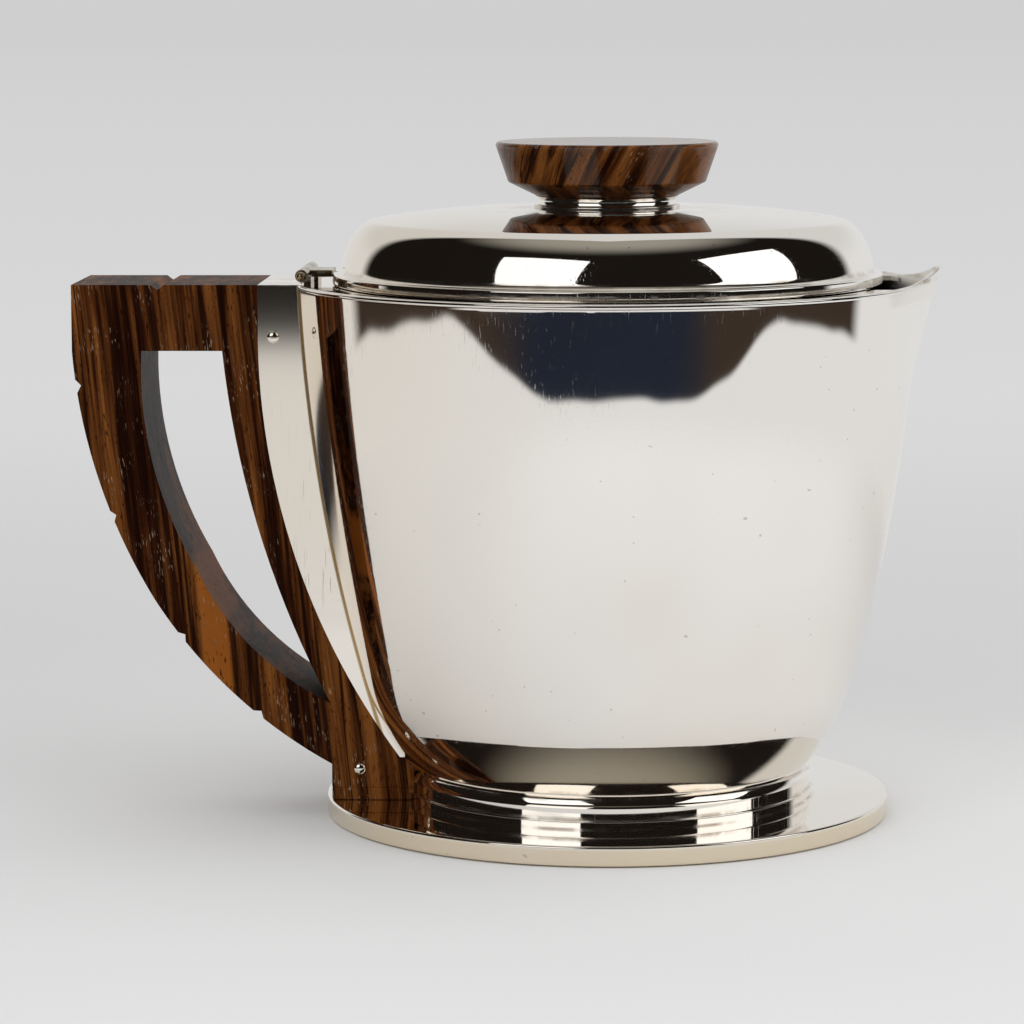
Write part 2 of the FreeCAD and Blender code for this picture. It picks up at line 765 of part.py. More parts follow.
def make_knob():
    """Make the knob stack: washer, waisted collar, wooden knob, stud and nut."""
    soft = d.washer_height / 2
    washer = turned("Washer", [
        (stud_hole, 0),
        (d.washer_radius, 0),
        (d.washer_radius, soft, soft),
        (d.washer_radius - soft, d.washer_height),
        (stud_hole, d.washer_height),
    ])
    keep(place(washer, z=knob_level), "knob_washer")

    collar_level = knob_level + d.washer_height
    collar_radius = d.washer_radius - d.collar_step
    collar = turned("Collar", [
        (stud_hole, 0),
        (collar_radius, 0),
        (collar_radius - d.collar_waist, d.collar_height / 2),
        (collar_radius, d.collar_height),
        (stud_hole, d.collar_height),
    ])
    keep(place(collar, z=collar_level), "knob_collar")

    wood_level = collar_level + d.collar_height
    rounded = d.knob_edge_round
    wood = turned("KnobWood", [
        (stud_hole, 0),
        (d.washer_radius - d.knob_foot_step, 0),
        (d.knob_radius - d.knob_bevel_step, d.knob_bevel_height),
        (d.knob_radius, d.knob_height - rounded, rounded),
        (d.knob_radius - rounded, d.knob_height),
        (0, d.knob_height),
        (0, d.stud_grip),
        (stud_hole, d.stud_grip),
    ])
    keep(place(wood, z=wood_level), "knob")

    nut_level = knob_level - d.lid_wall - d.nut_height
    stud_level = nut_level - d.nut_tail
    stud_top = wood_level + d.stud_grip - d.stud_clearance
    keep(rod("Stud", d.stud_radius, stud_top - stud_level, z=stud_level), "knob_stud")
    prism = doc.addObject("Part::Prism", "NutPrism")
    prism.Polygon = 6
    bind(prism, Circumradius=d.nut_radius, Height=d.nut_height)
    place(prism, z=nut_level)
    nut_hole = rod("NutHole", stud_hole, d.nut_height * 3, z=nut_level - d.nut_height)
    keep(cut("Nut", prism, nut_hole), "knob_nut")


def check_and_write():
    """Stop on any failed object or bad shape, then write each sub-part to its own file."""
    doc.recompute()
    failed = [thing.Name for thing in doc.Objects if {"Invalid", "Error"} & set(thing.State)]
    if failed:
        raise RuntimeError(f"failed objects: {failed}")
    for piece in pieces:
        if piece.Shape.isNull() or not piece.Shape.isValid():
            raise RuntimeError(f"bad shape: {piece.Label}")
    os.makedirs("parts", exist_ok=True)
    for piece in pieces:
        print(f"{piece.Label}: {len(piece.Shape.Solids)} solids, {piece.Shape.Volume:.1f} mm3")
        piece.Shape.exportStep(f"parts/{piece.Label}.step")


make_foot()
make_stem()
make_body()
make_handle()
make_socket()
make_hinge()
make_lid()
make_knob()
check_and_write()
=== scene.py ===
import logging
import math
from dataclasses import dataclass, field
from enum import Enum
from functools import reduce
from typing import Any

import bmesh
import bpy
from mathutils import Matrix, Vector


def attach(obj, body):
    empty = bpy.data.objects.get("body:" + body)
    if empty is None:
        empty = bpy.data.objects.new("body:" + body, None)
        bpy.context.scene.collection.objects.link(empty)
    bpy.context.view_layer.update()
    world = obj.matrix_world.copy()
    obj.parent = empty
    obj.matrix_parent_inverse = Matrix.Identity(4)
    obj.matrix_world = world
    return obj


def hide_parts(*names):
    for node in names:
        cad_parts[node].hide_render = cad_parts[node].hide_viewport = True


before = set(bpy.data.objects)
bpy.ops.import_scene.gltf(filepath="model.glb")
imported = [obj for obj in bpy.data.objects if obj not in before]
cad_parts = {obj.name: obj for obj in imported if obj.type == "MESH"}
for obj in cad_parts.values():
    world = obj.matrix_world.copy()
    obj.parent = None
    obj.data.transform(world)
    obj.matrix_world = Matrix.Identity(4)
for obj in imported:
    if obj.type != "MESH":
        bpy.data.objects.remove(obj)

LOG = logging.getLogger("teapot")
MM = 0.001
TINY = 1e-4
MERGE = 1e-6
WELD = 2e-6
Point = tuple[float, float]
Triple = tuple[float, float, float]
Ease = tuple[float, ...]


class Slot(Enum):
    """The record's material slots."""

    SILVER = "silver"
    WOOD = "wood"
    BRASS = "brass"


class Rides(Enum):
    """The bodies that the pieces move with."""

    POT = "pot"
    LID = "lid"


class Columns(Enum):
    """How many columns a turned piece has round its axis."""

    FINE = 256
    PLAIN = 192
    SMALL = 64


class Value:
    """One output of a node, with arithmetic that adds Math nodes."""

    def __init__(self, graph: "Graph", socket: bpy.types.NodeSocket) -> None:
        """Keep the graph and the socket."""
        self.graph = graph
        self.socket = socket

    def __add__(self, other: Any) -> "Value":
        """Add a value or number."""
        return self.graph.math("ADD", self, other)

    def __radd__(self, other: Any) -> "Value":
        """Add to a number."""
        return self.graph.math("ADD", other, self)

    def __sub__(self, other: Any) -> "Value":
        """Take a value or number away."""
        return self.graph.math("SUBTRACT", self, other)

    def __rsub__(self, other: Any) -> "Value":
        """Take away from a number."""
        return self.graph.math("SUBTRACT", other, self)

    def __mul__(self, other: Any) -> "Value":
        """Multiply by a value or number."""
        return self.graph.math("MULTIPLY", self, other)

    def __rmul__(self, other: Any) -> "Value":
        """Multiply a number."""
        return self.graph.math("MULTIPLY", other, self)

    def __truediv__(self, other: Any) -> "Value":
        """Divide by a value or number."""
        return self.graph.math("DIVIDE", self, other)

    def __gt__(self, other: Any) -> "Value":
        """One where this is larger."""
        return self.graph.math("GREATER_THAN", self, other)


class Graph:
    """A node tree that is written as expressions."""

    def __init__(self, tree: bpy.types.NodeTree) -> None:
        """Empty the tree and keep it."""
        self.tree = tree
        tree.nodes.clear()

    def node(self, kind: str, settings: dict[str, Any] | None = None,
             sockets: dict[Any, Any] | None = None, out: int | str = 0) -> Value:
        """Add any node.

        Args:
            kind: The node's type.
            settings: Its own settings, set before its sockets; "stops" fills a ramp.
            sockets: Values or links by socket name or number.
            out: The output to hand back.

        Returns:
            The chosen output, or the node's first.
        """
        node = self.tree.nodes.new(kind)
        for key, setting in (settings or {}).items():
            if key == "stops":
                self._fill_ramp(node.color_ramp, setting)
            else:
                setattr(node, key, setting)
        for key, given in (sockets or {}).items():
            if isinstance(given, Value):
                self.tree.links.new(given.socket, node.inputs[key])
            else:
                node.inputs[key].default_value = given
        return Value(self, node.outputs[out] if len(node.outputs) else None)

    def _fill_ramp(self, ramp: bpy.types.ColorRamp, stops: list[tuple[float, Triple]]) -> None:
        """Put the stops on a colour ramp.

        Args:
            ramp: The ramp.
            stops: Places and colours, in order.
        """
        while len(ramp.elements) < len(stops):
            ramp.elements.new(1.0)
        for element, (place, colour) in zip(ramp.elements, stops):
            element.position = place
            element.color = (*colour, 1.0)

    def math(self, operation: str, *values: Any) -> Value:
        """Add a Math node on values or numbers."""
        return self.node("ShaderNodeMath", {"operation": operation}, dict(enumerate(values)))

    def away(self, given: Value, middle: Any) -> Value:
        """Hand back how far a value is from a middle."""
        return self.math("ABSOLUTE", given - middle)

    def radius(self, x: Value, y: Value) -> Value:
        """Hand back the distance from the upright axis."""
        return self.math("SQRT", x * x + y * y)

    def largest(self, values: list[Value]) -> Value:
        """Hand back the largest of several values."""
        return reduce(lambda first, second: self.math("MAXIMUM", first, second), values)

    def mix(self, share: Any, first: Any, second: Any) -> Value:
        """Mix two colours.

        Args:
            share: How much of the second colour.
            first: A colour or its link.
            second: A colour or its link.

        Returns:
            The mixed colour.
        """
        whole = [(*c, 1.0) if isinstance(c, tuple) else c for c in (first, second)]
        return self.node("ShaderNodeMix", {"data_type": "RGBA"},
                         {0: share, 6: whole[0], 7: whole[1]}, out=2)

    def step(self, given: Value, ease: Ease) -> Value:
        """Ease a value from one range to another.

        Args:
            given: The value.
            ease: Where the ease starts and ends, then what it gives there if not 0 and 1.

        Returns:
            The eased value.
        """
        return self.node("ShaderNodeMapRange", {"interpolation_type": "SMOOTHSTEP"},
                         dict(enumerate((given, *ease))))

    def split(self, vector: Value) -> tuple[Value, Value, Value]:
        """Split a vector into its three values."""
        outputs = self.node("ShaderNodeSeparateXYZ", None, {0: vector}).socket.node.outputs
        return tuple(Value(self, outputs[i]) for i in range(3))

    def mapped(self, vector: Value, scale: Triple, turn: Triple = (0.0, 0.0, 0.0),
               shift: Triple = (0.0, 0.0, 0.0)) -> Value:
        """Scale, turn and shift a vector.

        Args:
            vector: The coordinates.
            scale: Scale on each axis.
            turn: Turn about each axis, in degrees.
            shift: Shift on each axis.

        Returns:
            The mapped coordinates.
        """
        angles = tuple(math.radians(a) for a in turn)
        return self.node("ShaderNodeMapping", None, {"Vector": vector, "Location": shift,
                                                     "Rotation": angles, "Scale": scale})

    def noise(self, vector: Value, scale: float, detail: float = 2.0, rough: float = 0.5,
              out: int | str = 0) -> Value:
        """Add a noise texture.

        Args:
            vector: The coordinates.
            scale: How many features per metre.
            detail: Levels of finer noise.
            rough: How strong the finer levels are.
            out: The output to hand back.

        Returns:
            The noise, about 0 to 1.
        """
        return self.node("ShaderNodeTexNoise", None, {"Vector": vector, "Scale": scale,
                                                      "Detail": detail, "Roughness": rough}, out)

    def object_place(self) -> Value:
        """Hand back the piece's own coordinates in metres."""
        return self.node("ShaderNodeTexCoord", out="Object")

    def bump(self, height: Value, strength: float, distance: float,
             normal: Value | None = None) -> Value:
        """Add a bump.

        Args:
            height: The height.
            strength: Share of the bump.
            distance: Depth in metres.
            normal: A bump below this one.

        Returns:
            The bent normal.
        """
        sockets: dict[str, Any] = {"Height": height, "Strength": strength, "Distance": distance}
        if normal is not None:
            sockets["Normal"] = normal
        return self.node("ShaderNodeBump", None, sockets)

    def surface(self, **sockets: Any) -> None:
        """End the tree in one Principled shader.

        Args:
            sockets: Values or links by socket name, with underscores for spaces.
        """
        named = {key.replace("_", " "): given for key, given in sockets.items()}
        shader = self.node("ShaderNodeBsdfPrincipled", None, named)
        self.node("ShaderNodeOutputMaterial", None, {"Surface": shader})


def new_material(name: str) -> tuple[bpy.types.Material, Graph]:
    """Make an empty material with its graph.

    Args:
        name: The material's name.

    Returns:
        The material and its graph.
    """
    material = bpy.data.materials.new(name)
    material.use_nodes = True
    return material, Graph(material.node_tree)


@dataclass(frozen=True)
class SilverFinish:
    """Polished silver with old hairlines, a little warm tarnish in its corners, and a painted warm
    reflection of the wooden handle on the handle's side.
    """

    name: str = "polished_silver"
    bright: Triple = (0.985, 0.96, 0.92)
    warm: Triple = (0.91, 0.845, 0.755)
    stained: Triple = (0.81, 0.69, 0.51)
    corner: Triple = (0.42, 0.33, 0.22)
    seam: Triple = (0.40, 0.24, 0.07)
    roughness: float = 0.03
    cloud_scale: float = 14.0
    warm_clouds: Ease = (0.40, 0.80, 0.0, 0.8)
    painted_reflection_side: Ease = (0.01, -0.05, 0.0, 0.7)
    warm_roughness: float = 0.015
    stain_level: Ease = (0.0044, 0.0030, 0.0, 0.85)
    stain_clouds: Ease = (0.15, 0.5)
    corners: tuple = (0.0064, 0.0106, 0.1192, 0.1216, 0.1354, 0.1372)
    corner_width: Ease = (0.0, 0.0009, 0.55, 0.0)
    stem_radius: float = 0.0461
    stem_width: Ease = (0.0, 0.0012, 0.5, 0.0)
    plate_level: float = 0.0043
    plate_depth: Ease = (0.0002, 0.0006, 1.0, 0.0)
    patch_scale: float = 160.0
    patches: Ease = (0.35, 0.65)
    patch_roughness: float = 0.25
    pit_scale: float = 800.0
    pits: Ease = (0.862, 0.872)
    pit_share: float = 0.5
    strokes: tuple = (((0, 70, 0), 0.0), ((0, 105, 20), 3.1),
                      ((0, 130, -15), 7.7), ((0, 88, 40), 5.3))
    stroke_scale: Triple = (4200.0, 4200.0, 75.0)
    stroke_edge: Ease = (0.72, 0.78)
    worn_scale: float = 35.0
    worn: Ease = (0.42, 0.68)
    hairline_roughness: float = 0.11
    hairline_bump: Point = (0.06, 0.00005)
    swell_scale: float = 34.0
    swell_bump: Point = (0.004, 0.0012)
    lip_side: Ease = (0.0585, 0.0625)
    lip_level: Ease = (0.1130, 0.1160)
    lip_roughness: float = 0.36
    seam_half: float = 0.015
    seam_share: float = 0.9
    seam_roughness: float = 0.15
    seam_on_wall: Ease = (0.0002, 0.0006, 1.0, 0.0)
    seam_width: Ease = (0.0, 0.0005, 1.0, 0.0)
    seam_side: Ease = (-0.02, -0.01, 1.0, 0.0)
    wall_bend: float = 0.400
    wall_middle: Point = (-0.3309, 0.13545)

    def make(self) -> bpy.types.Material:
        """Build the material.

        Returns:
            The finished silver.
        """
        material, g = new_material(self.name)
        place = g.object_place()
        side, _, level = g.split(place)
        cloud = g.noise(place, self.cloud_scale)
        # The warm tint is partly tarnish in clouds and partly a painted reflection of the wooden
        # handle, warmer on the handle's side.
        tarnish_and_painted_reflection = g.step(cloud, self.warm_clouds) + g.step(side, self.painted_reflection_side)
        tarnish_and_painted_reflection = g.math("MINIMUM", tarnish_and_painted_reflection, 1.0)
        stain = g.step(level, self.stain_level) * g.step(cloud, self.stain_clouds)
        dirt = self._dirt(g, place)
        pits = g.step(g.noise(place, self.pit_scale, 0.0), self.pits)
        joint = self._joint(g, place)
        colour = g.mix(tarnish_and_painted_reflection, self.bright, self.warm)
        for share, tint in ((stain, self.stained), (dirt, self.corner),
                            (pits * self.pit_share, self.corner),
                            (joint * self.seam_share, self.seam)):
            colour = g.mix(share, colour, tint)
        lines = self._hairlines(g, place)
        worn_lip = g.step(side, self.lip_side) * g.step(level, self.lip_level)
        rough = self.roughness + worn_lip * self.lip_roughness + tarnish_and_painted_reflection * self.warm_roughness
        rough = rough + lines * self.hairline_roughness + dirt * self.patch_roughness
        rough = rough + joint * self.seam_roughness
        swell = g.bump(g.noise(place, self.swell_scale, 1.0, 0.4), *self.swell_bump)
        normal = g.bump(lines, *self.hairline_bump, swell)
        g.surface(Base_Color=colour, Metallic=1.0, Roughness=rough, Normal=normal)
        return material

    def _dirt(self, g: Graph, place: Value) -> Value:
        """Mark the tarnish in the corners of the steps and round the stem.

        Args:
            g: The material's graph.
            place: The piece's own coordinates.

        Returns:
            The share of tarnish, in patches.
        """
        side, depth, level = g.split(place)
        marks = [g.step(g.away(level, z), self.corner_width) for z in self.corners]
        round_stem = g.away(g.radius(side, depth), self.stem_radius)
        on_plate = g.step(g.away(level, self.plate_level), self.plate_depth)
        marks.append(g.step(round_stem, self.stem_width) * on_plate)
        patch = g.step(g.noise(place, self.patch_scale, 3.0, 0.6), self.patches)
        return g.largest(marks) * patch

    def _hairlines(self, g: Graph, place: Value) -> Value:
        """Draw fine strokes in several directions where the silver is worn.

        Args:
            g: The material's graph.
            place: The piece's own coordinates.

        Returns:
            One on the strokes, fading to none.
        """
        lines = []
        for turn, shift in self.strokes:
            bent = g.mapped(place, self.stroke_scale, turn, (shift, shift, shift))
            lines.append(g.step(g.noise(bent, 1.0, 1.0, 0.4), self.stroke_edge))
        return g.largest(lines) * g.step(g.noise(place, self.worn_scale), self.worn)

    def _joint(self, g: Graph, place: Value) -> Value:
        """Mark the soldered joint of the socket on the body's wall.

        Args:
            g: The material's graph.
            place: The piece's own coordinates.

        Returns:
            One on the joint, fading to none.
        """
        x, y, z = g.split(place)
        rise = z - self.wall_middle[1]
        wall = g.math("SQRT", self.wall_bend ** 2 - rise * rise) + self.wall_middle[0]
        on_wall = g.step(g.away(g.radius(x, y), wall), self.seam_on_wall)
        off_side = g.away(g.math("ABSOLUTE", y), self.seam_half)
        return on_wall * g.step(off_side, self.seam_width) * g.step(x, self.seam_side)


@dataclass(frozen=True)
class WoodFinish:
    """Dark streaked wood, oiled, with open pores along the grain."""

    name: str
    turn: Triple = (0.0, 6.0, 0.0)
    shift: Triple = (0.0, 0.0, 0.0)
    black: Triple = (0.009, 0.0016, 0.0004)
    dark: Triple = (0.027, 0.0062, 0.0012)
    brown: Triple = (0.082, 0.025, 0.0052)
    orange: Triple = (0.19, 0.066, 0.014)
    pore: Triple = (0.34, 0.25, 0.17)
    band: Triple = (0.27, 0.082, 0.012)
    tones: tuple = (0.26, 0.40, 0.55, 0.78)
    tone: float = 0.02
    low_end: Ease = (0.085, 0.015, 0.0, 0.09)
    swirl: float = 0.5
    sway_scale: float = 30.0
    sway_depth: float = 0.012
    sway_stretch: float = 0.3
    stretch: float = 0.03
    spread: float = 0.22
    wide_scale: float = 90.0
    streak_scale: float = 430.0
    fine_scale: float = 1500.0
    weights: Triple = (0.85, 1.25, 0.5)
    vein_scale: float = 300.0
    vein_spread: float = 0.2
    vein_stretch: float = 0.7
    vein_shift: Triple = (4.0, 1.0, 2.0)
    vein_start: Ease = (0.53, 0.58)
    vein_end: Ease = (0.60, 0.66, 1.0, 0.0)
    vein_share: float = 0.9
    band_place: float = -0.0778
    band_half: Ease = (0.00216, 0.0036, 1.0, 0.0)
    band_top: Ease = (0.062, 0.078, 1.0, 0.0)
    band_streaks: Ease = (0.20, 0.34)
    band_share: float = 0.85
    band_veins: float = 0.6
    pore_scale: float = 3600.0
    pore_stretch: float = 0.14
    pore_edge: Ease = (0.62, 0.70)
    filled_scale: float = 120.0
    filled: Ease = (0.48, 0.64)
    filled_share: float = 0.6
    open_share: float = 0.85
    roughness: float = 0.34
    fine_roughness: float = 0.12
    pore_roughness: float = 0.25
    streak_height: float = 0.25
    grain_bump: Point = (0.25, 0.00008)
    knob_face: Point = (0.1478, 0.1490)
    coat: float = 0.0
    face_coat: float = 0.8
    coat_roughness: float = 0.12
    specular: float = 0.025

    def make(self) -> bpy.types.Material:
        """Build the material.

        Returns:
            The finished wood.
        """
        material, g = new_material(self.name)
        own = g.object_place()
        level = g.split(own)[2]
        place = g.mapped(own, (1.0, 1.0, 1.0), self.turn, self.shift)
        grain = self._grain(g, place)
        along = g.mapped(grain, (1.0, self.spread, self.stretch))
        wide = g.noise(along, self.wide_scale)
        streak = g.noise(along, self.streak_scale, 3.0, 0.6)
        fine = g.noise(along, self.fine_scale, 2.0, 0.6)
        tone = (wide - 0.5) * self.weights[0] + (streak - 0.5) * self.weights[1]
        tone = tone + (fine - 0.5) * self.weights[2] + (0.5 + self.tone)
        tone = tone + g.step(level, self.low_end)
        stops = list(zip(self.tones, (self.black, self.dark, self.brown, self.orange)))
        colour = g.node("ShaderNodeValToRGB", {"stops": stops}, {0: tone})
        thin = (1.0, self.vein_spread, self.stretch * self.vein_stretch)
        line = g.noise(g.mapped(grain, thin, shift=self.vein_shift), self.vein_scale)
        vein = g.step(line, self.vein_start) * g.step(line, self.vein_end)
        colour = g.mix(vein * self.vein_share, colour, self.black)
        beside = g.away(g.split(grain)[0], self.band_place)
        glow = g.step(beside, self.band_half) * g.step(streak, self.band_streaks)
        glow = glow * g.step(level, self.band_top)
        glow = glow * (1 - vein * self.band_veins) * self.band_share
        colour = g.mix(glow, colour, self.band)
        dashes = g.noise(g.mapped(grain, (1.0, 1.0, self.pore_stretch)), self.pore_scale, 1.0)
        pores = g.step(dashes, self.pore_edge)
        light = g.step(g.noise(place, self.filled_scale), self.filled)
        colour = g.mix(pores * light * self.filled_share, colour, self.pore)
        colour = g.mix(pores * (1 - light) * self.open_share, colour, self.black)
        rough = self.roughness + fine * self.fine_roughness + pores * self.pore_roughness
        normal = g.bump(streak * self.streak_height - pores, *self.grain_bump)
        coat = g.step(level, (*self.knob_face, self.coat, self.face_coat))
        g.surface(Base_Color=colour, Roughness=rough, Normal=normal, Coat_Weight=coat,
                  Specular_IOR_Level=self.specular, Coat_Roughness=self.coat_roughness)
        return material

    def _grain(self, g: Graph, place: Value) -> Value:
        """Sway the coordinates, so that the grain isn't dead straight.

        Args:
            g: The material's graph.
            place: The turned coordinates.

        Returns:
            The swayed coordinates.
        """
        long = g.mapped(place, (1.0, 1.0, self.sway_stretch))
        sway = g.noise(long, self.sway_scale, out="Color")
        push = g.node("ShaderNodeVectorMath", {"operation": "SCALE"},
                      {0: sway, "Scale": self.sway_depth * self.swirl})
        return g.node("ShaderNodeVectorMath", {"operation": "ADD"}, {0: place, 1: push})


@dataclass(frozen=True)
class BrassFinish:
    """Turned brass with tool rings, dulled by age."""

    name: str = "turned_brass"
    bright: Triple = (0.72, 0.52, 0.24)
    dull: Triple = (0.40, 0.27, 0.12)
    rings_out: float = 42000.0
    rings_up: float = 30000.0
    ring_bump: Point = (0.06, 0.00003)
    cloud_scale: float = 420.0
    clouds: Ease = (0.35, 0.7)
    roughness: float = 0.24
    dull_roughness: float = 0.16

    def make(self) -> bpy.types.Material:
        """Build the material.

        Returns:
            The finished brass.
        """
        material, g = new_material(self.name)
        place = g.object_place()
        x, y, z = g.split(place)
        rings = g.math("SINE", g.radius(x, y) * self.rings_out + z * self.rings_up)
        cloud = g.step(g.noise(place, self.cloud_scale, 3.0), self.clouds)
        g.surface(Base_Color=g.mix(cloud, self.bright, self.dull), Metallic=1.0,
                  Roughness=self.roughness + cloud * self.dull_roughness,
                  Normal=g.bump(rings, *self.ring_bump))
        return material


class Outline:
    """A half section drawn from point to point in straight runs and arcs, in millimetres."""

    edge = 0.05

    def __init__(self, reach: float, level: float) -> None:
        """Start at a point."""
        self.points: list[Point] = [(reach, level)]

    def line(self, reach: float, level: float) -> "Outline":
        """Draw a straight run with a row close to each end.

        Args:
            reach: Distance of its end from the axis.
            level: Height of its end.

        Returns:
            The outline.
        """
        x, z = self.points[-1]
        length = math.dist((x, z), (reach, level))
        shares = [1.0]
        if length > self.edge * 4:
            shares = [self.edge / length, 1.0 - self.edge / length, 1.0]
        self.points += [(x + (reach - x) * s, z + (level - z) * s) for s in shares]
        return self

    def arc(self, reach: float, level: float, bend: float, rows: int = 8) -> "Outline":
        """Draw an arc.

        Args:
            reach: Distance of its end from the axis.
            level: Height of its end.
            bend: Its radius; positive bulges to the right of the way it is drawn.
            rows: How many steps it is drawn in.

        Returns:
            The outline.
        """
        start, end = Vector(self.points[-1]), Vector((reach, level))
        chord = end - start
        side = Vector((-chord.y, chord.x)).normalized() * math.copysign(1.0, bend)
        half = chord.length / 2
        middle = (start + end) / 2 + side * math.sqrt(max(bend * bend - half * half, 0.0))
        first = start - middle
        sweep = 2 * math.asin(min(half / abs(bend), 1.0)) * math.copysign(1.0, bend)
        for row in range(1, rows + 1):
            turned = Matrix.Rotation(sweep * row / rows, 2) @ first
            self.points.append(tuple(middle + turned))
        return self

    def sweep(self, corner: Point, reach: float, level: float, fullness: float = 0.75,
              rows: int = 28) -> "Outline":
        """Draw an even curve that leaves and arrives along the sides of a corner.

        Args:
            corner: Where the two sides meet.
            reach: Distance of its end from the axis.
            level: Height of its end.
            fullness: How far the curve goes into the corner.
            rows: How many steps it is drawn in.

        Returns:
            The outline.
        """
        ends = (self.points[-1], corner, (reach, level))
        for row in range(1, rows + 1):
            t = row / rows
            shares = ((1 - t) ** 2, 2 * t * (1 - t) * fullness, t * t)
            total = sum(shares)
            self.points.append(tuple(sum(share * end[axis] for share, end in zip(shares, ends))
                                     / total for axis in (0, 1)))
        return self

    def close(self) -> "Outline":
        """Go straight back to the start."""
        return self.line(*self.points[0])

    def lifted(self, level: float) -> list[Point]:
        """Hand back the points, raised by a level."""
        return [(x, z + level) for x, z in self.points]


class Maker:
    """A Geometry Nodes tree with named inputs, which makes plain meshes from a few points."""

    def __init__(self, name: str, output: str, sizes: dict[str, str]) -> None:
        """Build the tree.

        Args:
            name: The tree's name.
            output: The name of what it makes.
            sizes: Its size inputs with their socket types.
        """
        self.tree = bpy.data.node_groups.new(name, "GeometryNodeTree")
        inputs = {"Geometry": "NodeSocketGeometry", **sizes, "Finish": "NodeSocketMaterial"}
        self.names = {title: self._socket(title, kind, "INPUT") for title, kind in inputs.items()}
        self._socket(output, "NodeSocketGeometry", "OUTPUT")
        g = Graph(self.tree)
        given = {title: g.node("NodeGroupInput", out=title) for title in inputs}
        real = g.node("GeometryNodeRealizeInstances", None, {"Geometry": self.shape(g, given)})
        done = g.node("GeometryNodeSetMaterial", None,
                      {"Geometry": real, "Material": given["Finish"]})
        g.node("NodeGroupOutput", None, {output: done})

    def _socket(self, title: str, kind: str, way: str) -> str:
        """Add one socket to the tree's outside and hand back its identifier."""
        made = self.tree.interface.new_socket(title, in_out=way, socket_type=kind)
        return made.identifier

    def shape(self, g: Graph, given: dict[str, Value]) -> Value:
        """Lay out the nodes that make the shape; each kind of maker has its own."""
        raise NotImplementedError

    def make(self, name: str, spots: list[tuple], finish: bpy.types.Material,
             sizes: dict[str, Any], edges: tuple | list = ()) -> bpy.types.Mesh:
        """Run the tree on some points.

        Args:
            name: The mesh's name.
            spots: The points, in millimetres.
            finish: The material.
            sizes: The tree's sizes by name.
            edges: Pairs of points that are joined.

        Returns:
            The result as a plain mesh.
        """
        base = bpy.data.meshes.new(f"{name}_base")
        base.from_pydata([tuple(v * MM for v in spot) for spot in spots], edges, [])
        maker = add_object(f"{name}_maker", base)
        modifier = maker.modifiers.new("maker", "NODES")
        modifier.node_group = self.tree
        for title, size in {**sizes, "Finish": finish}.items():
            modifier[self.names[title]] = size
        mesh = plain_mesh(maker)
        bpy.data.objects.remove(maker)
        mesh.name = name
        return mesh


class Lathe(Maker):
    """Turns half sections into closed pieces."""

    crease = 32.0

    def __init__(self) -> None:
        """Name the tree and its inputs."""
        super().__init__("turned_piece", "Piece",
                         {"Segments": "NodeSocketInt", "Crease Angle": "NodeSocketFloat"})

    def shape(self, g: Graph, given: dict[str, Value]) -> Value:
        """Lay a grid of rows and columns and wrap it round the axis.

        Args:
            g: The tree's graph.
            given: The tree's inputs.

        Returns:
            The turned shape.
        """
        rows = g.node("GeometryNodeAttributeDomainSize", None, {0: given["Geometry"]},
                      out="Point Count")
        columns = given["Segments"] + 1
        grid = g.node("GeometryNodeMeshGrid", None, {"Vertices X": rows, "Vertices Y": columns})
        index = g.node("GeometryNodeInputIndex")
        row = g.math("FLOOR", (index + 0.5) / columns)
        column = index - row * columns
        angle = column / given["Segments"] * math.tau
        where = g.node("GeometryNodeInputPosition")
        section = g.node("GeometryNodeSampleIndex",
                         {"data_type": "FLOAT_VECTOR", "domain": "POINT"},
                         {"Geometry": given["Geometry"], "Value": where, "Index": row})
        reach, _, level = g.split(section)
        spot = g.node("ShaderNodeCombineXYZ", None, {0: reach * g.math("COSINE", angle),
                                                     1: reach * g.math("SINE", angle), 2: level})
        wrapped = g.node("GeometryNodeSetPosition", None, {"Geometry": grid, "Position": spot})
        merged = g.node("GeometryNodeMergeByDistance", None,
                        {"Geometry": wrapped, "Distance": MERGE})
        smooth = g.node("GeometryNodeSetShadeSmooth", {"domain": "FACE"},
                        {"Geometry": merged, "Shade Smooth": True})
        fold = g.node("GeometryNodeInputMeshEdgeAngle") > given["Crease Angle"]
        return g.node("GeometryNodeSetShadeSmooth", {"domain": "EDGE"},
                      {"Geometry": smooth, "Selection": fold, "Shade Smooth": False})

    def turn(self, name: str, points: list[Point], finish: bpy.types.Material,
             columns: Columns = Columns.PLAIN) -> bpy.types.Object:
        """Turn one half section.

        Args:
            name: The piece's name.
            points: The section, in millimetres.
            finish: Its material.
            columns: Columns round the axis.

        Returns:
            The piece as a plain mesh object.
        """
        spots = [(x, 0.0, z) for x, z in points]
        sizes = {"Segments": columns.value, "Crease Angle": math.radians(self.crease)}
        edges = [(i, i + 1) for i in range(len(points) - 1)]
        mesh = self.make(name, spots, finish, sizes, edges)
        face_outwards(mesh)
        return add_object(name, mesh)


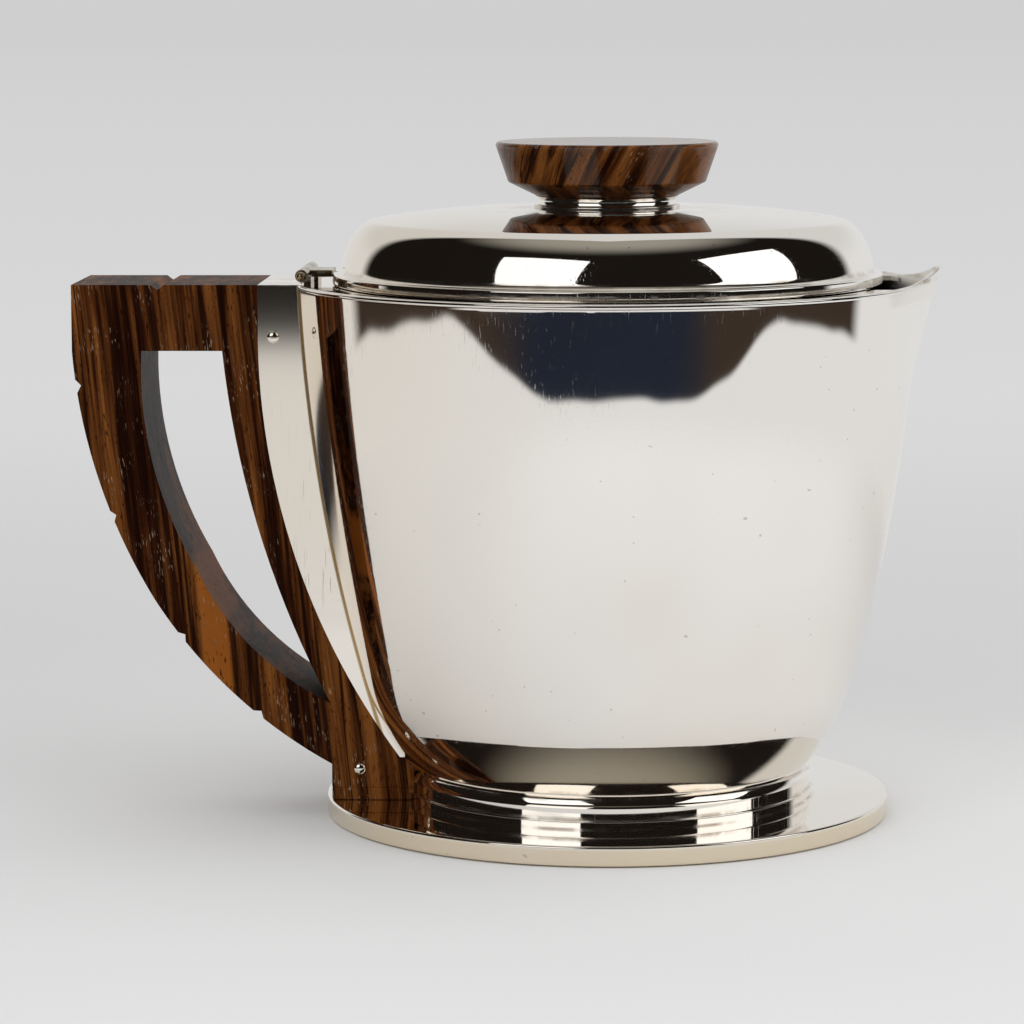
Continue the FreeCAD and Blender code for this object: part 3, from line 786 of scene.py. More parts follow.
class PinHeads(Maker):
    """Sets low domed heads on points."""

    columns = 32
    rings = 20

    def __init__(self) -> None:
        """Name the tree and its inputs."""
        super().__init__("pin_heads", "Heads",
                         {"Head Radius": "NodeSocketFloat", "Head Height": "NodeSocketFloat"})

    def shape(self, g: Graph, given: dict[str, Value]) -> Value:
        """Put a flattened ball on each point.

        Args:
            g: The tree's graph.
            given: The tree's inputs.

        Returns:
            The heads.
        """
        ball = g.node("GeometryNodeMeshUVSphere", None,
                      {"Segments": self.columns, "Rings": self.rings, "Radius": 1.0})
        across, out = given["Head Radius"], given["Head Height"]
        size = g.node("ShaderNodeCombineXYZ", None, {0: across, 1: out, 2: across})
        dome = g.node("GeometryNodeTransform", None, {"Geometry": ball, "Scale": size})
        smooth = g.node("GeometryNodeSetShadeSmooth", None,
                        {"Geometry": dome, "Shade Smooth": True})
        return g.node("GeometryNodeInstanceOnPoints", None,
                      {"Points": given["Geometry"], "Instance": smooth})

    def set_heads(self, name: str, spots: list[tuple], radius: float, height: float,
                  finish: bpy.types.Material) -> bpy.types.Object:
        """Set a head on each spot.

        Args:
            name: The piece's name.
            spots: Places of the heads, in millimetres.
            radius: Radius of a head.
            height: How far a head stands out.
            finish: Its material.

        Returns:
            The heads as a plain mesh object.
        """
        sizes = {"Head Radius": radius * MM, "Head Height": height * MM}
        return add_object(name, self.make(name, spots, finish, sizes))


def add_object(name: str, mesh: bpy.types.Mesh) -> bpy.types.Object:
    """Put a mesh into the scene as an object at the origin.

    Args:
        name: The object's name.
        mesh: Its mesh.

    Returns:
        The object.
    """
    piece = bpy.data.objects.new(name, mesh)
    bpy.context.collection.objects.link(piece)
    return piece


def plain_mesh(piece: bpy.types.Object) -> bpy.types.Mesh:
    """Hand back what a piece's modifiers make of it as a plain mesh."""
    return bpy.data.meshes.new_from_object(
        piece.evaluated_get(bpy.context.evaluated_depsgraph_get()))


def new_mesh(work: bmesh.types.BMesh, name: str,
             finish: bpy.types.Material | None = None) -> bpy.types.Mesh:
    """Turn worked geometry into a new mesh.

    Args:
        work: The geometry, which is freed.
        name: The mesh's name.
        finish: Its material, where it has one.

    Returns:
        The mesh.
    """
    mesh = bpy.data.meshes.new(name)
    work.to_mesh(mesh)
    work.free()
    if finish is not None:
        mesh.materials.clear()
        mesh.materials.append(finish)
    return mesh


def face_outwards(mesh: bpy.types.Mesh) -> None:
    """Point the faces of a closed mesh outwards.

    Args:
        mesh: The mesh.
    """
    work = bmesh.new()
    work.from_mesh(mesh)
    bmesh.ops.recalc_face_normals(work, faces=work.faces)
    work.to_mesh(mesh)
    work.free()


def smooth_between(work: bmesh.types.BMesh, crease: float) -> None:
    """Shade the faces smooth and keep the creases sharp.

    Args:
        work: The geometry.
        crease: Edges that turn by more than this many degrees stay sharp.
    """
    for face in work.faces:
        face.smooth = True
    for edge in work.edges:
        edge.smooth = edge.is_manifold and edge.calc_face_angle(0.0) < math.radians(crease)


def settle(piece: bpy.types.Object, body: Rides, slot: Slot, *nodes: str) -> None:
    """Join a piece to its body, and let it stand for its solids.

    Args:
        piece: The finished piece.
        body: The body that it moves with.
        slot: Not used.
        nodes: The solids that it stands for.
    """
    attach(piece, body.value)
    if nodes:
        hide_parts(*nodes)
    LOG.info("%s: %d faces, on %s", piece.name, len(piece.data.polygons), body.value)


def softened(node: str, finish: bpy.types.Material, width: float, crease: float = 35.0,
             flat: float = 0.6) -> bpy.types.Object:
    """Copy a solid, join its triangles and break its sharp edges.

    Args:
        node: The solid's name.
        finish: The material.
        width: Width of the broken edge, in millimetres.
        crease: Edges that turn by more than this many degrees are broken.
        flat: Faces within this many degrees are joined.

    Returns:
        The piece.
    """
    work = bmesh.new()
    work.from_mesh(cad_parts[node].data)
    bmesh.ops.remove_doubles(work, verts=work.verts, dist=WELD)
    bmesh.ops.dissolve_limit(work, angle_limit=math.radians(flat),
                             verts=work.verts, edges=work.edges)
    smooth_between(work, crease)
    piece = add_object(f"{node}_dressed", new_mesh(work, f"{node}_dressed", finish))
    bevel = piece.modifiers.new("broken_edges", "BEVEL")
    bevel.width = width * MM
    bevel.segments = 3
    bevel.limit_method = "ANGLE"
    bevel.angle_limit = math.radians(crease)
    bevel.harden_normals = True
    bevel.use_clamp_overlap = True
    return piece


@dataclass
class Foot:
    """The disc foot with its edge band, and the two stepped rings above it."""

    radius: float = 62.8
    height: float = 4.3
    wall: float = 1.2
    plate: float = 1.0
    bore: float = 40.5
    rounded: float = 0.5
    lower_radius: float = 46.0
    lower_height: float = 2.0
    lower_rounded: float = 0.4
    upper_radius: float = 45.6
    upper_wall: float = 2.5
    upper_height: float = 4.5
    cove: float = 3.0
    top_radius: float = 44.6

    def build(self, lathe: Lathe, silver: bpy.types.Material) -> None:
        """Turn the foot and the rings.

        Args:
            lathe: The lathe.
            silver: The finish.
        """
        inside, top, r = self.radius - self.wall, self.height, self.rounded
        band = Outline(inside, 0).line(self.radius - r, 0).arc(self.radius, r, r)
        band.line(self.radius, top - r).arc(self.radius - r, top, r).line(inside, top).close()
        plate = Outline(self.bore, top - self.plate).line(inside, top - self.plate)
        plate.line(inside, top).line(self.bore, top).close()
        under = Outline(0, 0).line(inside, 0).line(inside, self.plate).line(0, self.plate)
        wide, high, r = self.lower_radius, self.lower_height, self.lower_rounded
        lower = Outline(self.bore, 0).line(wide, 0).line(wide, high - r)
        lower.arc(wide - r, high, r).line(self.bore, high).close()
        upper = Outline(self.bore, 0).line(self.upper_radius, 0)
        upper.line(self.upper_radius, self.upper_wall)
        upper.arc(self.top_radius, self.upper_height, -self.cove, 12)
        upper.line(self.bore, self.upper_height).close()
        for name, outline, level, columns, node in (
                ("foot_band", band, 0.0, Columns.FINE, "foot_edge_band"),
                ("foot_top", plate, 0.0, Columns.FINE, "foot_plate"),
                ("foot_underside", under, 0.0, Columns.PLAIN, "foot_base_disc"),
                ("stem_step", lower, top, Columns.FINE, "stem_ring_lower"),
                ("stem_cove", upper, top + high, Columns.FINE, "stem_ring_upper")):
            piece = lathe.turn(name, outline.lifted(level), silver, columns)
            settle(piece, Rides.POT, Slot.SILVER, node)


@dataclass
class Bowl:
    """The flared body with its pouring lip drawn out of the rim, in one sheet."""

    base: float = 10.8
    rim: float = 118.8
    wall: float = 1.0
    low_bend: float = 62.0
    low_middle: Point = (-3.96, 49.33)
    high_bend: float = 400.0
    high_middle: Point = (-330.9, 135.45)
    blend: Point = (21.0, 37.0)
    lip_start: float = 91.5
    lip_top: float = 122.7
    lip_jut: float = 4.9
    lip_power: float = 1.5
    lip_spread: float = 24.0
    lip_ease: float = 6.0
    nose: float = 8.0
    lip_back: float = 65.0
    lip_rise: float = 3.95
    lip_rise_power: float = 2.4
    rounded: float = 0.3
    round_rows: int = 5
    edge: float = 0.05
    crease: float = 40.0
    columns: int = 224
    lip_columns: int = 72
    lip_columns_spread: float = 27.0
    rows: int = 72

    def plain(self, level: float) -> float:
        """Radius of the body without its lip at a level.

        Args:
            level: Height, in millimetres.

        Returns:
            The radius, in millimetres.
        """
        drop, fall = level - self.low_middle[1], level - self.high_middle[1]
        low = self.low_middle[0] + math.sqrt(max(self.low_bend ** 2 - drop ** 2, 0.0))
        high = self.high_middle[0] + math.sqrt(self.high_bend ** 2 - fall ** 2)
        share = (level - self.blend[0]) / (self.blend[1] - self.blend[0])
        share = min(max(share, 0.0), 1.0)
        return low + (high - low) * share * share * (3 - 2 * share)

    def reach(self, angle: float, level: float) -> float:
        """Radius of the outside at an angle from the lip and a level.

        Args:
            angle: Angle round the axis, in radians.
            level: Height, in millimetres.

        Returns:
            The radius, in millimetres.
        """
        plain = self.plain(level)
        share = (level - self.lip_start) / (self.lip_top - self.lip_start)
        if share <= 0.0:
            return plain
        jut = self.lip_jut * share ** self.lip_power
        middle = plain + jut - self.nose
        side = math.acos(min((plain - self.nose) / middle, 1.0))
        turn = abs(angle)
        if turn >= side:
            return plain
        touch = math.atan2(self.nose * math.sin(side), middle + self.nose * math.cos(side))
        if turn > touch:
            return plain / math.cos(side - turn)
        across = middle * math.sin(turn)
        return middle * math.cos(turn) + math.sqrt(max(self.nose ** 2 - across ** 2, 0.0))

    def top(self, angle: float) -> float:
        """Height of the edge at an angle from the lip.

        Args:
            angle: Angle round the axis, in radians.

        Returns:
            The height, in millimetres.
        """
        spread = math.radians(self.lip_spread)
        if abs(angle) > spread:
            return self.rim
        x = self.reach(angle, self.rim) * math.cos(angle)
        ease = min(1.0, (spread - abs(angle)) / math.radians(self.lip_ease))
        length = self.plain(self.rim) + self.lip_jut - self.lip_back
        along = max((x - self.lip_back) / length, 0.0)
        return self.rim + self.lip_rise * ease * along ** self.lip_rise_power

    def angles(self) -> list[float]:
        """Angles of the columns, closer together at the lip.

        Returns:
            The angles, in radians.
        """
        near, fine = math.radians(self.lip_columns_spread), self.lip_columns
        dense = [-near + 2 * near * i / fine for i in range(fine)]
        rest = self.columns - fine
        return dense + [near + (math.tau - 2 * near) * i / rest for i in range(rest)]

    def level_at(self, share: float, bottom: float, head: float) -> float:
        """Height at a share of the wall, stretched only above the start of the lip.

        Args:
            share: Share of the way up the wall.
            bottom: Where the wall starts.
            head: Where the wall ends at this column.

        Returns:
            The height, in millimetres.
        """
        z = bottom + (self.rim - self.rounded - bottom) * share
        if z <= self.lip_start:
            return z
        plain_run = self.rim - self.rounded - self.lip_start
        return self.lip_start + (z - self.lip_start) * (head - self.lip_start) / plain_run

    def column(self, angle: float) -> list[Vector]:
        """Points of one column, from under the middle over the edge to the middle inside.

        Args:
            angle: The column's angle.

        Returns:
            The points, in metres.
        """
        soft, top, floor = self.rounded, self.top(angle), self.base + self.wall
        pairs: list[Point] = [(0.0, self.base), (self.plain(self.base) - self.edge, self.base)]
        for row in range(self.rows + 1):
            z = self.level_at(row / self.rows, self.base, top - soft)
            pairs.append((self.reach(angle, z), z))
        head = self.reach(angle, top - soft)
        for row in range(1, self.round_rows + 1):
            a = math.pi / 2 * row / self.round_rows
            pairs.append((head - soft + soft * math.cos(a), top - soft + soft * math.sin(a)))
        inner = head - self.wall + soft
        for row in range(self.round_rows + 1):
            a = math.pi / 2 * (1 - row / self.round_rows)
            pairs.append((inner - soft * math.cos(a), top - soft + soft * math.sin(a)))
        for row in range(self.rows, -1, -2):
            z = self.level_at(row / self.rows, floor, top - soft)
            pairs.append((self.reach(angle, z) - self.wall, z))
        pairs += [(pairs[-1][0] - self.edge, floor), (0.0, floor)]
        return [Vector((r * math.cos(angle), r * math.sin(angle), z)) * MM for r, z in pairs]

    def build(self, silver: bpy.types.Material) -> None:
        """Build the sheet.

        Args:
            silver: The finish.
        """
        work = bmesh.new()
        grid = [[work.verts.new(p) for p in self.column(a)] for a in self.angles()]
        for i, column in enumerate(grid):
            beside = grid[(i + 1) % len(grid)]
            for a, b, c, d in zip(column, column[1:], beside[1:], beside):
                work.faces.new((a, d, c, b))
        bmesh.ops.remove_doubles(work, verts=work.verts, dist=MERGE)
        bmesh.ops.recalc_face_normals(work, faces=work.faces)
        smooth_between(work, self.crease)
        piece = add_object("body_with_lip", new_mesh(work, "body_with_lip", silver))
        settle(piece, Rides.POT, Slot.SILVER, "body_shell", "pouring_lip")


@dataclass
class Rim:
    """The ledge inside the mouth that carries the lid, and the wire under the rim."""

    seat_edge: float = 0.15
    wire_edge: float = 0.2
    wire_crease: float = 25.0

    def build(self, silver: bpy.types.Material) -> None:
        """Dress the ledge and the wire.

        Args:
            silver: The finish.
        """
        seat = softened("lid_seat", silver, self.seat_edge)
        settle(seat, Rides.POT, Slot.SILVER, "lid_seat")
        wire = softened("rim_wire", silver, self.wire_edge, self.wire_crease)
        settle(wire, Rides.POT, Slot.SILVER, "rim_wire")


@dataclass
class Handle:
    """The wooden slab, its foot pad, the silver socket, and the pins through them."""

    edge: float = 0.7
    pad_edge: float = 0.35
    metal_edge: float = 0.35
    half: float = 15.0
    pin_radius: float = 1.35
    pin_height: float = 0.7
    pins: dict[str, Point] = field(default_factory=lambda: {
        "socket_rivet": (-72.8, 107.4), "tang_rivet": (-54.5, 11.3)})

    def build(self, silver: bpy.types.Material, wood: bpy.types.Material) -> None:
        """Dress the handle.

        Args:
            silver: The finish of socket and pins.
            wood: The finish of the slab.
        """
        for node, finish, edge, slot in (("handle_grip", wood, self.edge, Slot.WOOD),
                                         ("handle_foot_pad", wood, self.pad_edge, Slot.WOOD),
                                         ("handle_socket", silver, self.metal_edge, Slot.SILVER)):
            settle(softened(node, finish, edge), Rides.POT, slot, node)
        heads = PinHeads()
        for node, (reach, level) in self.pins.items():
            spots = [(reach, side * self.half, level) for side in (-1, 1)]
            pair = heads.set_heads(f"{node}_heads", spots, self.pin_radius, self.pin_height, silver)
            settle(pair, Rides.POT, Slot.SILVER, node)

    def dress_tang(self, silver: bpy.types.Material) -> None:
        """Dress the tang, which stays as its solid.

        Args:
            silver: The finish.
        """
        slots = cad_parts["handle_tang"].data.materials
        slots.clear()
        slots.append(silver)


@dataclass
class Lid:
    """The lid: flange with cove, dome with a steam hole, and the bezel below."""

    flange_level: float = 118.4
    flange_radius: float = 60.8
    flange_height: float = 2.4
    bore: float = 57.0
    rounded: float = 0.4
    cove: float = 1.7
    cove_height: float = 1.5
    dome_radius: float = 58.7
    dome_level: float = 122.3
    wall: float = 1.0
    shoulder_step: float = 1.45
    shoulder_height: float = 4.6
    shoulder_fullness: float = 0.75
    crown_step: float = 6.7
    crown_height: float = 10.0
    crown_bend: float = 226.0
    height: float = 12.8
    pad: float = 16.6
    stud: float = 2.03
    bezel_radius: float = 58.6
    bezel_depth: float = 4.5
    bezel_rounded: float = 0.3
    vent: Point = (46.0, 0.8)
    vent_columns: int = 32

    def build(self, lathe: Lathe, silver: bpy.types.Material) -> None:
        """Turn the lid's pieces.

        Args:
            lathe: The lathe.
            silver: The finish.
        """
        r, top = self.rounded, self.flange_height
        flange = Outline(self.bore, 0).line(self.flange_radius - r, 0).arc(self.flange_radius, r, r)
        flange.line(self.flange_radius, top - r).arc(self.flange_radius - r, top, r)
        flange.arc(self.dome_radius, top + self.cove_height, -self.cove, 10)
        flange.line(self.bore, top + self.cove_height).close()
        edge = lathe.turn("lid_edge", flange.lifted(self.flange_level), silver, Columns.FINE)
        settle(edge, Rides.LID, Slot.SILVER, "lid_flange")
        settle(self._dome(lathe, silver), Rides.LID, Slot.SILVER, "lid_shell")
        inside, r = self.bezel_radius - self.wall, self.bezel_rounded
        bezel = Outline(inside, r).arc(inside + r, 0, r, 5).line(self.bezel_radius - r, 0)
        bezel.arc(self.bezel_radius, r, r, 5).line(self.bezel_radius, self.bezel_depth)
        bezel.line(inside, self.bezel_depth).close()
        ring = bezel.lifted(self.flange_level - self.bezel_depth)
        settle(lathe.turn("lid_bezel_ring", ring, silver), Rides.LID, Slot.SILVER, "lid_bezel")

    def _dome(self, lathe: Lathe, silver: bpy.types.Material) -> bpy.types.Object:
        """Turn the dome and drill its steam hole.

        Args:
            lathe: The lathe.
            silver: The finish.

        Returns:
            The dome.
        """
        w, high = self.wall, self.height
        crown = self.dome_radius - self.crown_step
        dome = Outline(self.dome_radius - w, 0).line(self.dome_radius, 0)
        corner = (self.dome_radius - self.shoulder_step, self.shoulder_height * 2)
        dome.sweep(corner, crown, self.crown_height, self.shoulder_fullness)
        dome.arc(self.pad, high, self.crown_bend, 30)
        dome.line(self.stud, high).line(self.stud, high - w).line(self.pad, high - w)
        dome.arc(crown, self.crown_height - w, w - self.crown_bend, 12)
        dome.sweep((corner[0] - w, corner[1] - w), self.dome_radius - w, 0,
                   self.shoulder_fullness, 14)
        piece = lathe.turn("lid_dome", dome.lifted(self.dome_level), silver, Columns.FINE)
        self._drill(piece)
        return piece

    def _drill(self, piece: bpy.types.Object) -> None:
        """Drill the steam hole through the dome.

        Args:
            piece: The dome.
        """
        place, radius = self.vent[0], self.vent[1] * MM
        middle = Matrix.Translation(Vector((place, 0.0, self.dome_level + self.height)) * MM)
        work = bmesh.new()
        bmesh.ops.create_cone(work, cap_ends=True, segments=self.vent_columns, radius1=radius,
                              radius2=radius, depth=self.height * MM, matrix=middle)
        drill = add_object("steam_drill", new_mesh(work, "steam_drill"))
        hole = piece.modifiers.new("steam_hole", "BOOLEAN")
        hole.operation, hole.object, hole.solver = "DIFFERENCE", drill, "EXACT"
        done = plain_mesh(piece)
        piece.modifiers.clear()
        piece.data = done
        bpy.data.objects.remove(drill)


@dataclass
class Knob:
    """The knob: washer and waisted collar of silver, turned wood, stud and nut of brass."""

    level: float = 135.1
    stud: float = 2.03
    washer_radius: float = 16.1
    washer_height: float = 0.7
    collar_radius: float = 15.4
    collar_bend: float = 1.9
    collar_height: float = 1.7
    foot_radius: float = 15.6
    foot_rounded: float = 0.2
    foot_bend: float = 0.3
    radius: float = 24.6
    bevel_step: float = 2.7
    bevel_height: float = 3.3
    bevel_start: Point = (0.45, 0.35)
    bevel_end: Point = (0.12, 0.4)
    bevel_bend: float = 0.9
    height: float = 12.0
    rounded: float = 0.8
    grip: float = 9.0
    stud_radius: float = 2.0
    stud_bottom: float = 130.3
    stud_bevel: float = 0.2
    stud_gap: float = 0.03
    nut_edge: float = 0.25

    def build(self, lathe: Lathe, silver: bpy.types.Material, wood: bpy.types.Material,
              brass: bpy.types.Material) -> None:
        """Turn the knob's pieces.

        Args:
            lathe: The lathe.
            silver: The finish of washer and collar.
            wood: The finish of the knob.
            brass: The finish of stud and nut.
        """
        soft, thick = self.washer_height / 2, self.washer_height
        washer = Outline(self.stud, 0).line(self.washer_radius, 0).line(self.washer_radius, soft)
        washer.arc(self.washer_radius - soft, thick, soft).line(self.stud, thick).close()
        collar = Outline(self.stud, 0).line(self.collar_radius, 0)
        collar.arc(self.collar_radius, self.collar_height, -self.collar_bend, 10)
        collar.line(self.stud, self.collar_height).close()
        collar_level = self.level + self.washer_height
        wood_level = collar_level + self.collar_height
        top = wood_level + self.grip - self.stud_gap
        bottom, r = self.stud_bottom, self.stud_bevel
        rod = Outline(0, bottom).line(self.stud_radius - r, bottom)
        rod.line(self.stud_radius, bottom + r).line(self.stud_radius, top).line(0, top)
        for name, outline, level, finish, slot, node in (
                ("washer", washer, self.level, silver, Slot.SILVER, "knob_washer"),
                ("collar", collar, collar_level, silver, Slot.SILVER, "knob_collar"),
                ("knob_wood", self._wood(), wood_level, wood, Slot.WOOD, "knob")):
            settle(lathe.turn(name, outline.lifted(level), finish), Rides.LID, slot, node)
        stud = lathe.turn("stud", rod.points, brass, Columns.SMALL)
        settle(stud, Rides.LID, Slot.BRASS, "knob_stud")
        nut = softened("knob_nut", brass, self.nut_edge)
        settle(nut, Rides.LID, Slot.BRASS, "knob_nut")

    def _wood(self) -> Outline:
        """Draw the section of the wood, from its foot over the bevel to the flat top.

        Returns:
            The section.
        """
        r, soft = self.rounded, self.foot_rounded
        wide, bevel = self.radius - self.bevel_step, self.bevel_height
        section = Outline(self.stud, 0).line(self.foot_radius - soft, 0)
        section.arc(self.foot_radius + soft, soft, self.foot_bend, 4)
        section.line(wide - self.bevel_start[0], bevel - self.bevel_start[1])
        section.arc(wide + self.bevel_end[0], bevel + self.bevel_end[1], self.bevel_bend, 6)
        section.line(self.radius, self.height - r).arc(self.radius - r, self.height, r, 8)
        return section.line(0, self.height).line(0, self.grip).line(self.stud, self.grip).close()


@dataclass
class Hinge:
    """The lid's hinge: knuckles on the pot, a leaf on the lid, and a pin with ball ends."""

    edge: float = 0.15

    def build(self, silver: bpy.types.Material) -> None:
        """Dress the hinge.

        Args:
            silver: The finish.
        """
        for node, body in (("hinge_knuckles", Rides.POT), ("hinge_pin", Rides.POT),
                           ("lid_hinge_leaf", Rides.LID)):
            settle(softened(node, silver, self.edge), body, Slot.SILVER, node)


@dataclass
class Studio:
    """Pale floor, soft light and the camera; places in the world are parts of a unit way."""

    pale: float = 0.79
    pale_low: Triple = (0.735, 0.732, 0.726)
    pale_high: Triple = (0.64, 0.635, 0.62)
    pale_rise: Ease = (0.12, 0.40)
    room: Triple = (0.015, 0.019, 0.031)
    room_warm: Triple = (0.042, 0.029, 0.021)
    room_high: Triple = (0.009, 0.0070, 0.0055)
    room_top: Triple = (0.30, 0.28, 0.24)
    room_middle: Ease = (0.70, 0.93, 1.0, 0.0)
    room_rise: Ease = (0.78, 0.985)
    uneven_scale: float = 5.0
    uneven_depth: float = 0.016
    uneven_middle: float = 6.0
    low: Ease = (0.40, 0.95, -0.165, -0.283)
    low_soft: Ease = (-0.006, 0.006)
    right: Ease = (0.3, 0.9, 0.0, 0.05)
    left: Ease = (-0.15, -0.5, 0.0, 0.08)
    sides: Ease = (-0.68, -0.55)
    sides_level: Ease = (-0.03, 0.03, -0.36, 0.0)
    strip: Triple = (-0.158, -0.138, -0.089)
    strip_soft: float = 0.004
    strip_front: Ease = (0.5, 0.65)
    notch_lean: Triple = (0.0745, 0.249, 0.1005)
    notch_half: Ease = (0.020, 0.030, 1.0, 0.0)
    notch_front: Ease = (0.0, 0.5)
    dip_place: float = 0.81
    dip_half: Ease = (0.10, 0.14, 1.0, 0.0)
    dip_side: Ease = (0.0, -0.1)
    floor_white: float = 0.85
    floor_radius: float = 90.0
    floor_level: float = -0.0003
    floor_columns: int = 96
    sheet: Ease = (0.27, 0.40)
    back: Ease = (-0.05, 0.25, 0.0, 0.14)
    beyond: Ease = (0.25, 1.0, 1.0, 0.15)
    far: Ease = (2.0, 12.0, 0.0, 0.05)
    shaded: Ease = (-0.04, -0.22, 0.0, 0.06)
    shaded_back: Ease = (0.0, 0.5, 1.0, 0.0)
    lit: Ease = (0.16, 0.06, 0.0, 0.07)
    lit_side: Ease = (-0.06, 0.05)
    boxes: tuple = (("soft_box_left", (-0.72, -1.25, 0.82), (1.0, 1.08), 3.9),
                    ("soft_box_right", (1.25, -0.45, 0.71), (1.0, 0.95), 3.5))
    aim: Triple = (0.0, 0.0, 0.08)
    eye: Triple = (0.016478, -0.89181, 0.18443)
    yaw: float = -0.04223
    pitch: float = 0.130898
    roll: float = -0.0027726
    lens: float = 141.65
    sensor: float = 36.0
    clip: float = 0.01

    def build(self) -> None:
        """Set up the camera, the world, the floor and the soft boxes."""
        self._camera()
        self._world()
        self._floor()
        for box in self.boxes:
            self._soft_box(*box)

    def _camera(self) -> None:
        """Place the camera."""
        flat, drop = math.cos(self.pitch), math.sin(self.pitch)
        forward = Vector((math.sin(self.yaw) * flat, math.cos(self.yaw) * flat, -drop))
        right = Vector((math.cos(self.yaw), -math.sin(self.yaw), 0.0))
        up = right.cross(forward)
        across = math.cos(self.roll) * right + math.sin(self.roll) * up
        upright = -math.sin(self.roll) * right + math.cos(self.roll) * up
        data = bpy.data.cameras.new("camera")
        data.lens, data.sensor_width, data.clip_start = self.lens, self.sensor, self.clip
        camera = bpy.data.objects.new("camera", data)
        bpy.context.collection.objects.link(camera)
        turned = Matrix((across, upright, -forward)).transposed().to_4x4()
        camera.matrix_world = Matrix.Translation(self.eye) @ turned
        bpy.context.scene.camera = camera

    def _world(self) -> None:
        """Make a pale world with a dark room in front that only reflections see."""
        world = bpy.data.worlds.new("studio")
        bpy.context.scene.world = world
        world.use_nodes = True
        g = Graph(world.node_tree)
        way = g.node("ShaderNodeTexCoord", out="Generated")
        x, y, z = g.split(way)
        front = (0 - y) / (g.radius(x, y) + TINY)
        uneven = g.noise(way, self.uneven_scale, 0.0) * self.uneven_depth - self.uneven_depth / 2
        low = g.step(front + g.step(x, self.right) - g.step(x, self.left), self.low)
        reach = front + g.step(z, self.sides_level)
        shade = g.step(z - low + uneven, self.low_soft) * g.step(reach, self.sides)
        shade = shade * (1 - self._strip(g, (x, y, z), front))
        soft, above = self.strip_soft, self.strip[2]
        middle = g.step(front + uneven * self.uneven_middle, self.room_middle)
        room = g.mix(middle, self.room, self.room_warm)
        room = g.mix(g.step(z, (above - soft, above + soft)), room, self.room_high)
        room = g.mix(g.step(z, self.room_rise), room, self.room_top)
        walls = g.mix(g.step(z, self.pale_rise), self.pale_low, self.pale_high)
        path = g.node("ShaderNodeLightPath", out="Is Glossy Ray")
        colour = g.mix(path, (self.pale, self.pale, self.pale), g.mix(shade, walls, room))
        light = g.node("ShaderNodeBackground", None, {"Color": colour, "Strength": 1.0})
        g.node("ShaderNodeOutputWorld", None, {"Surface": light})

    def _strip(self, g: Graph, way: tuple[Value, Value, Value], front: Value) -> Value:
        """Mark a pale strip low in the dark room, deeper at a leaning notch and at a dip.

        Args:
            g: The world's graph.
            way: The three parts of the direction.
            front: How far the direction faces the front.

        Returns:
            One on the strip, fading to none.
        """
        x, y, z = way
        soft, (lowest, lower, above) = self.strip_soft, self.strip
        level, lean, place = self.notch_lean
        slant = x / (g.math("ABSOLUTE", y) + TINY) + (z + level) * lean + place
        notch = g.step(g.math("ABSOLUTE", slant), self.notch_half) * g.step(front, self.notch_front)
        dip = g.step(g.away(front, self.dip_place), self.dip_half) * g.step(x, self.dip_side)
        line = g.step(g.math("MAXIMUM", notch, dip), (0.0, 1.0, lower, lowest))
        strip = g.step(z - line, (-soft, soft)) * g.step(front, self.strip_front)
        return strip * g.step(z, (above - soft, above + soft, 1.0, 0.0))

    def _floor(self) -> None:
        """Make the pale floor, with painted shade towards the back, a painted shadow on the left
        and a painted pool of light by the pot; away from the pot, reflections see the world in its
        place.
        """
        material, g = new_material("pale_floor")
        x, y, _ = g.split(g.object_place())
        reach = g.radius(x, y)
        # painted shade: the floor grows darker towards the back and far away, where the light falls
        # off
        painted_falloff = g.step(y, self.back) * g.step(y, self.beyond) + g.step(y, self.far)
        # painted shadow: darker on the left in front of the pot
        shaded = g.step(x, self.shaded) * g.step(y, self.shaded_back)
        grey = self.floor_white * (1 - painted_falloff) * (1 - shaded)
        # painted pool of light: brighter beside the pot on the right
        grey = grey + g.step(reach, self.lit) * g.step(x, self.lit_side)
        white = g.node("ShaderNodeCombineXYZ", None, {0: grey, 1: grey, 2: grey})
        paper = g.node("ShaderNodeBsdfPrincipled", None,
                       {"Base Color": white, "Roughness": 1.0, "Specular IOR Level": 0.0})
        gone = g.step(reach, self.sheet) * g.node("ShaderNodeLightPath", out="Is Glossy Ray")
        clear = g.node("ShaderNodeBsdfTransparent")
        seen = g.node("ShaderNodeMixShader", None, {0: gone, 1: paper, 2: clear})
        g.node("ShaderNodeOutputMaterial", None, {"Surface": seen})
        work = bmesh.new()
        bmesh.ops.create_circle(work, cap_ends=True, segments=self.floor_columns,
                                radius=self.floor_radius)
        bmesh.ops.translate(work, verts=work.verts, vec=(0.0, 0.0, self.floor_level))
        add_object("floor", new_mesh(work, "floor", material))

    def _soft_box(self, name: str, place: Triple, size: Point, power: float) -> None:
        """Add one soft box aimed at the pot.

        Args:
            name: The lamp's name.
            place: Where it hangs.
            size: Width and height in metres.
            power: Power in watts.
        """
        data = bpy.data.lights.new(name, "AREA")
        data.shape, data.size, data.size_y, data.energy = "RECTANGLE", size[0], size[1], power
        lamp = bpy.data.objects.new(name, data)
        bpy.context.collection.objects.link(lamp)
        turned = (Vector(self.aim) - Vector(place)).to_track_quat("-Z", "Y").to_matrix().to_4x4()
        lamp.matrix_world = Matrix.Translation(place) @ turned


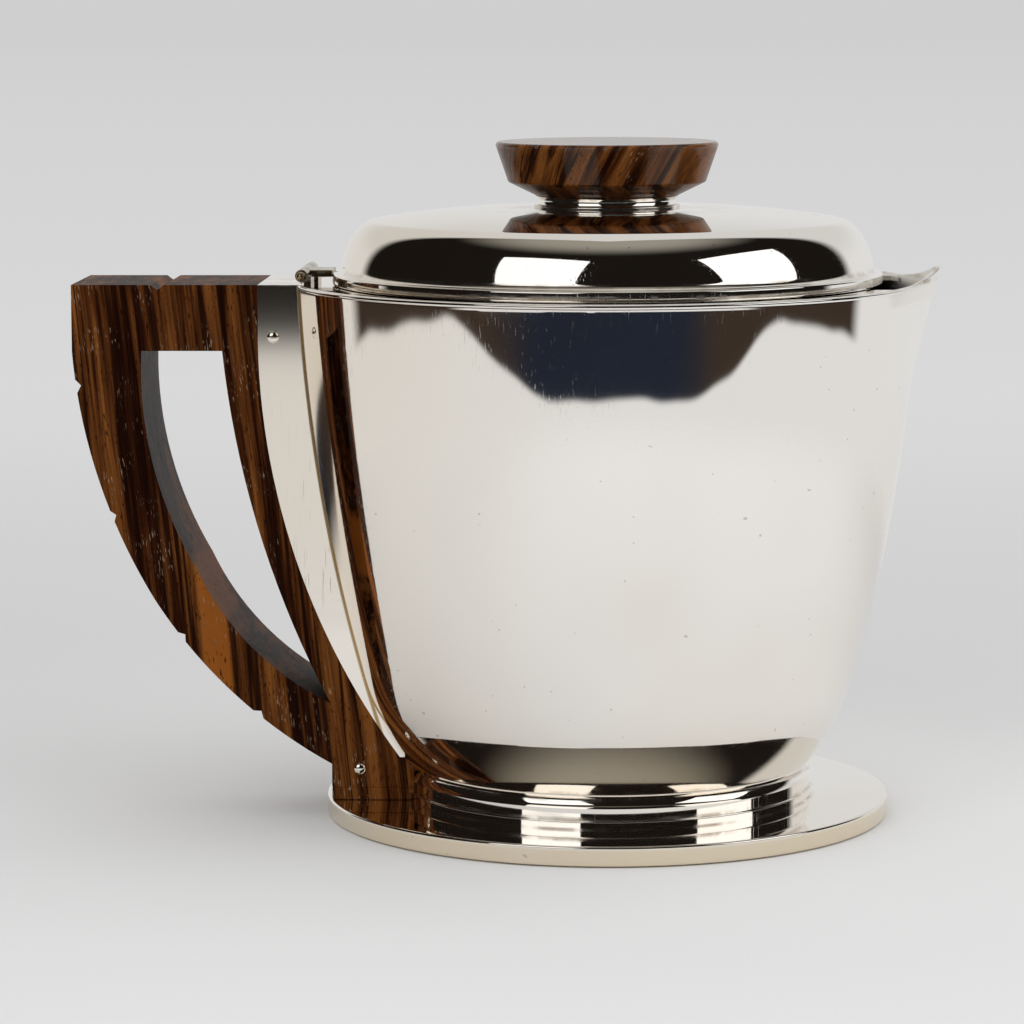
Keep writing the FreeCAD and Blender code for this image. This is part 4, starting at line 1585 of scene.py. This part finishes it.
def main() -> None:
    """Build the pieces in order and dress them."""
    logging.basicConfig(level=logging.INFO, format="%(name)s %(message)s")
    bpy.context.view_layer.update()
    bpy.context.scene.view_settings.view_transform = "Standard"
    silver = SilverFinish().make()
    wood = WoodFinish("streaked_wood").make()
    knob_wood = WoodFinish("figured_wood", turn=(0, -30, 20), shift=(0.3, 0.1, 0.2),
                           swirl=0.8, tone=0.07, band_place=9.0, coat=0.4).make()
    brass = BrassFinish().make()
    aged = SilverFinish("aged_silver", bright=(0.50, 0.43, 0.33), warm=(0.34, 0.27, 0.18),
                        roughness=0.14).make()
    Studio().build()
    lathe = Lathe()
    Foot().build(lathe, silver)
    Bowl().build(silver)
    Rim().build(silver)
    handle = Handle()
    handle.build(silver, wood)
    handle.dress_tang(silver)
    Lid().build(lathe, silver)
    Knob().build(lathe, silver, knob_wood, brass)
    Hinge().build(aged)


if __name__ == "__main__":
    main()
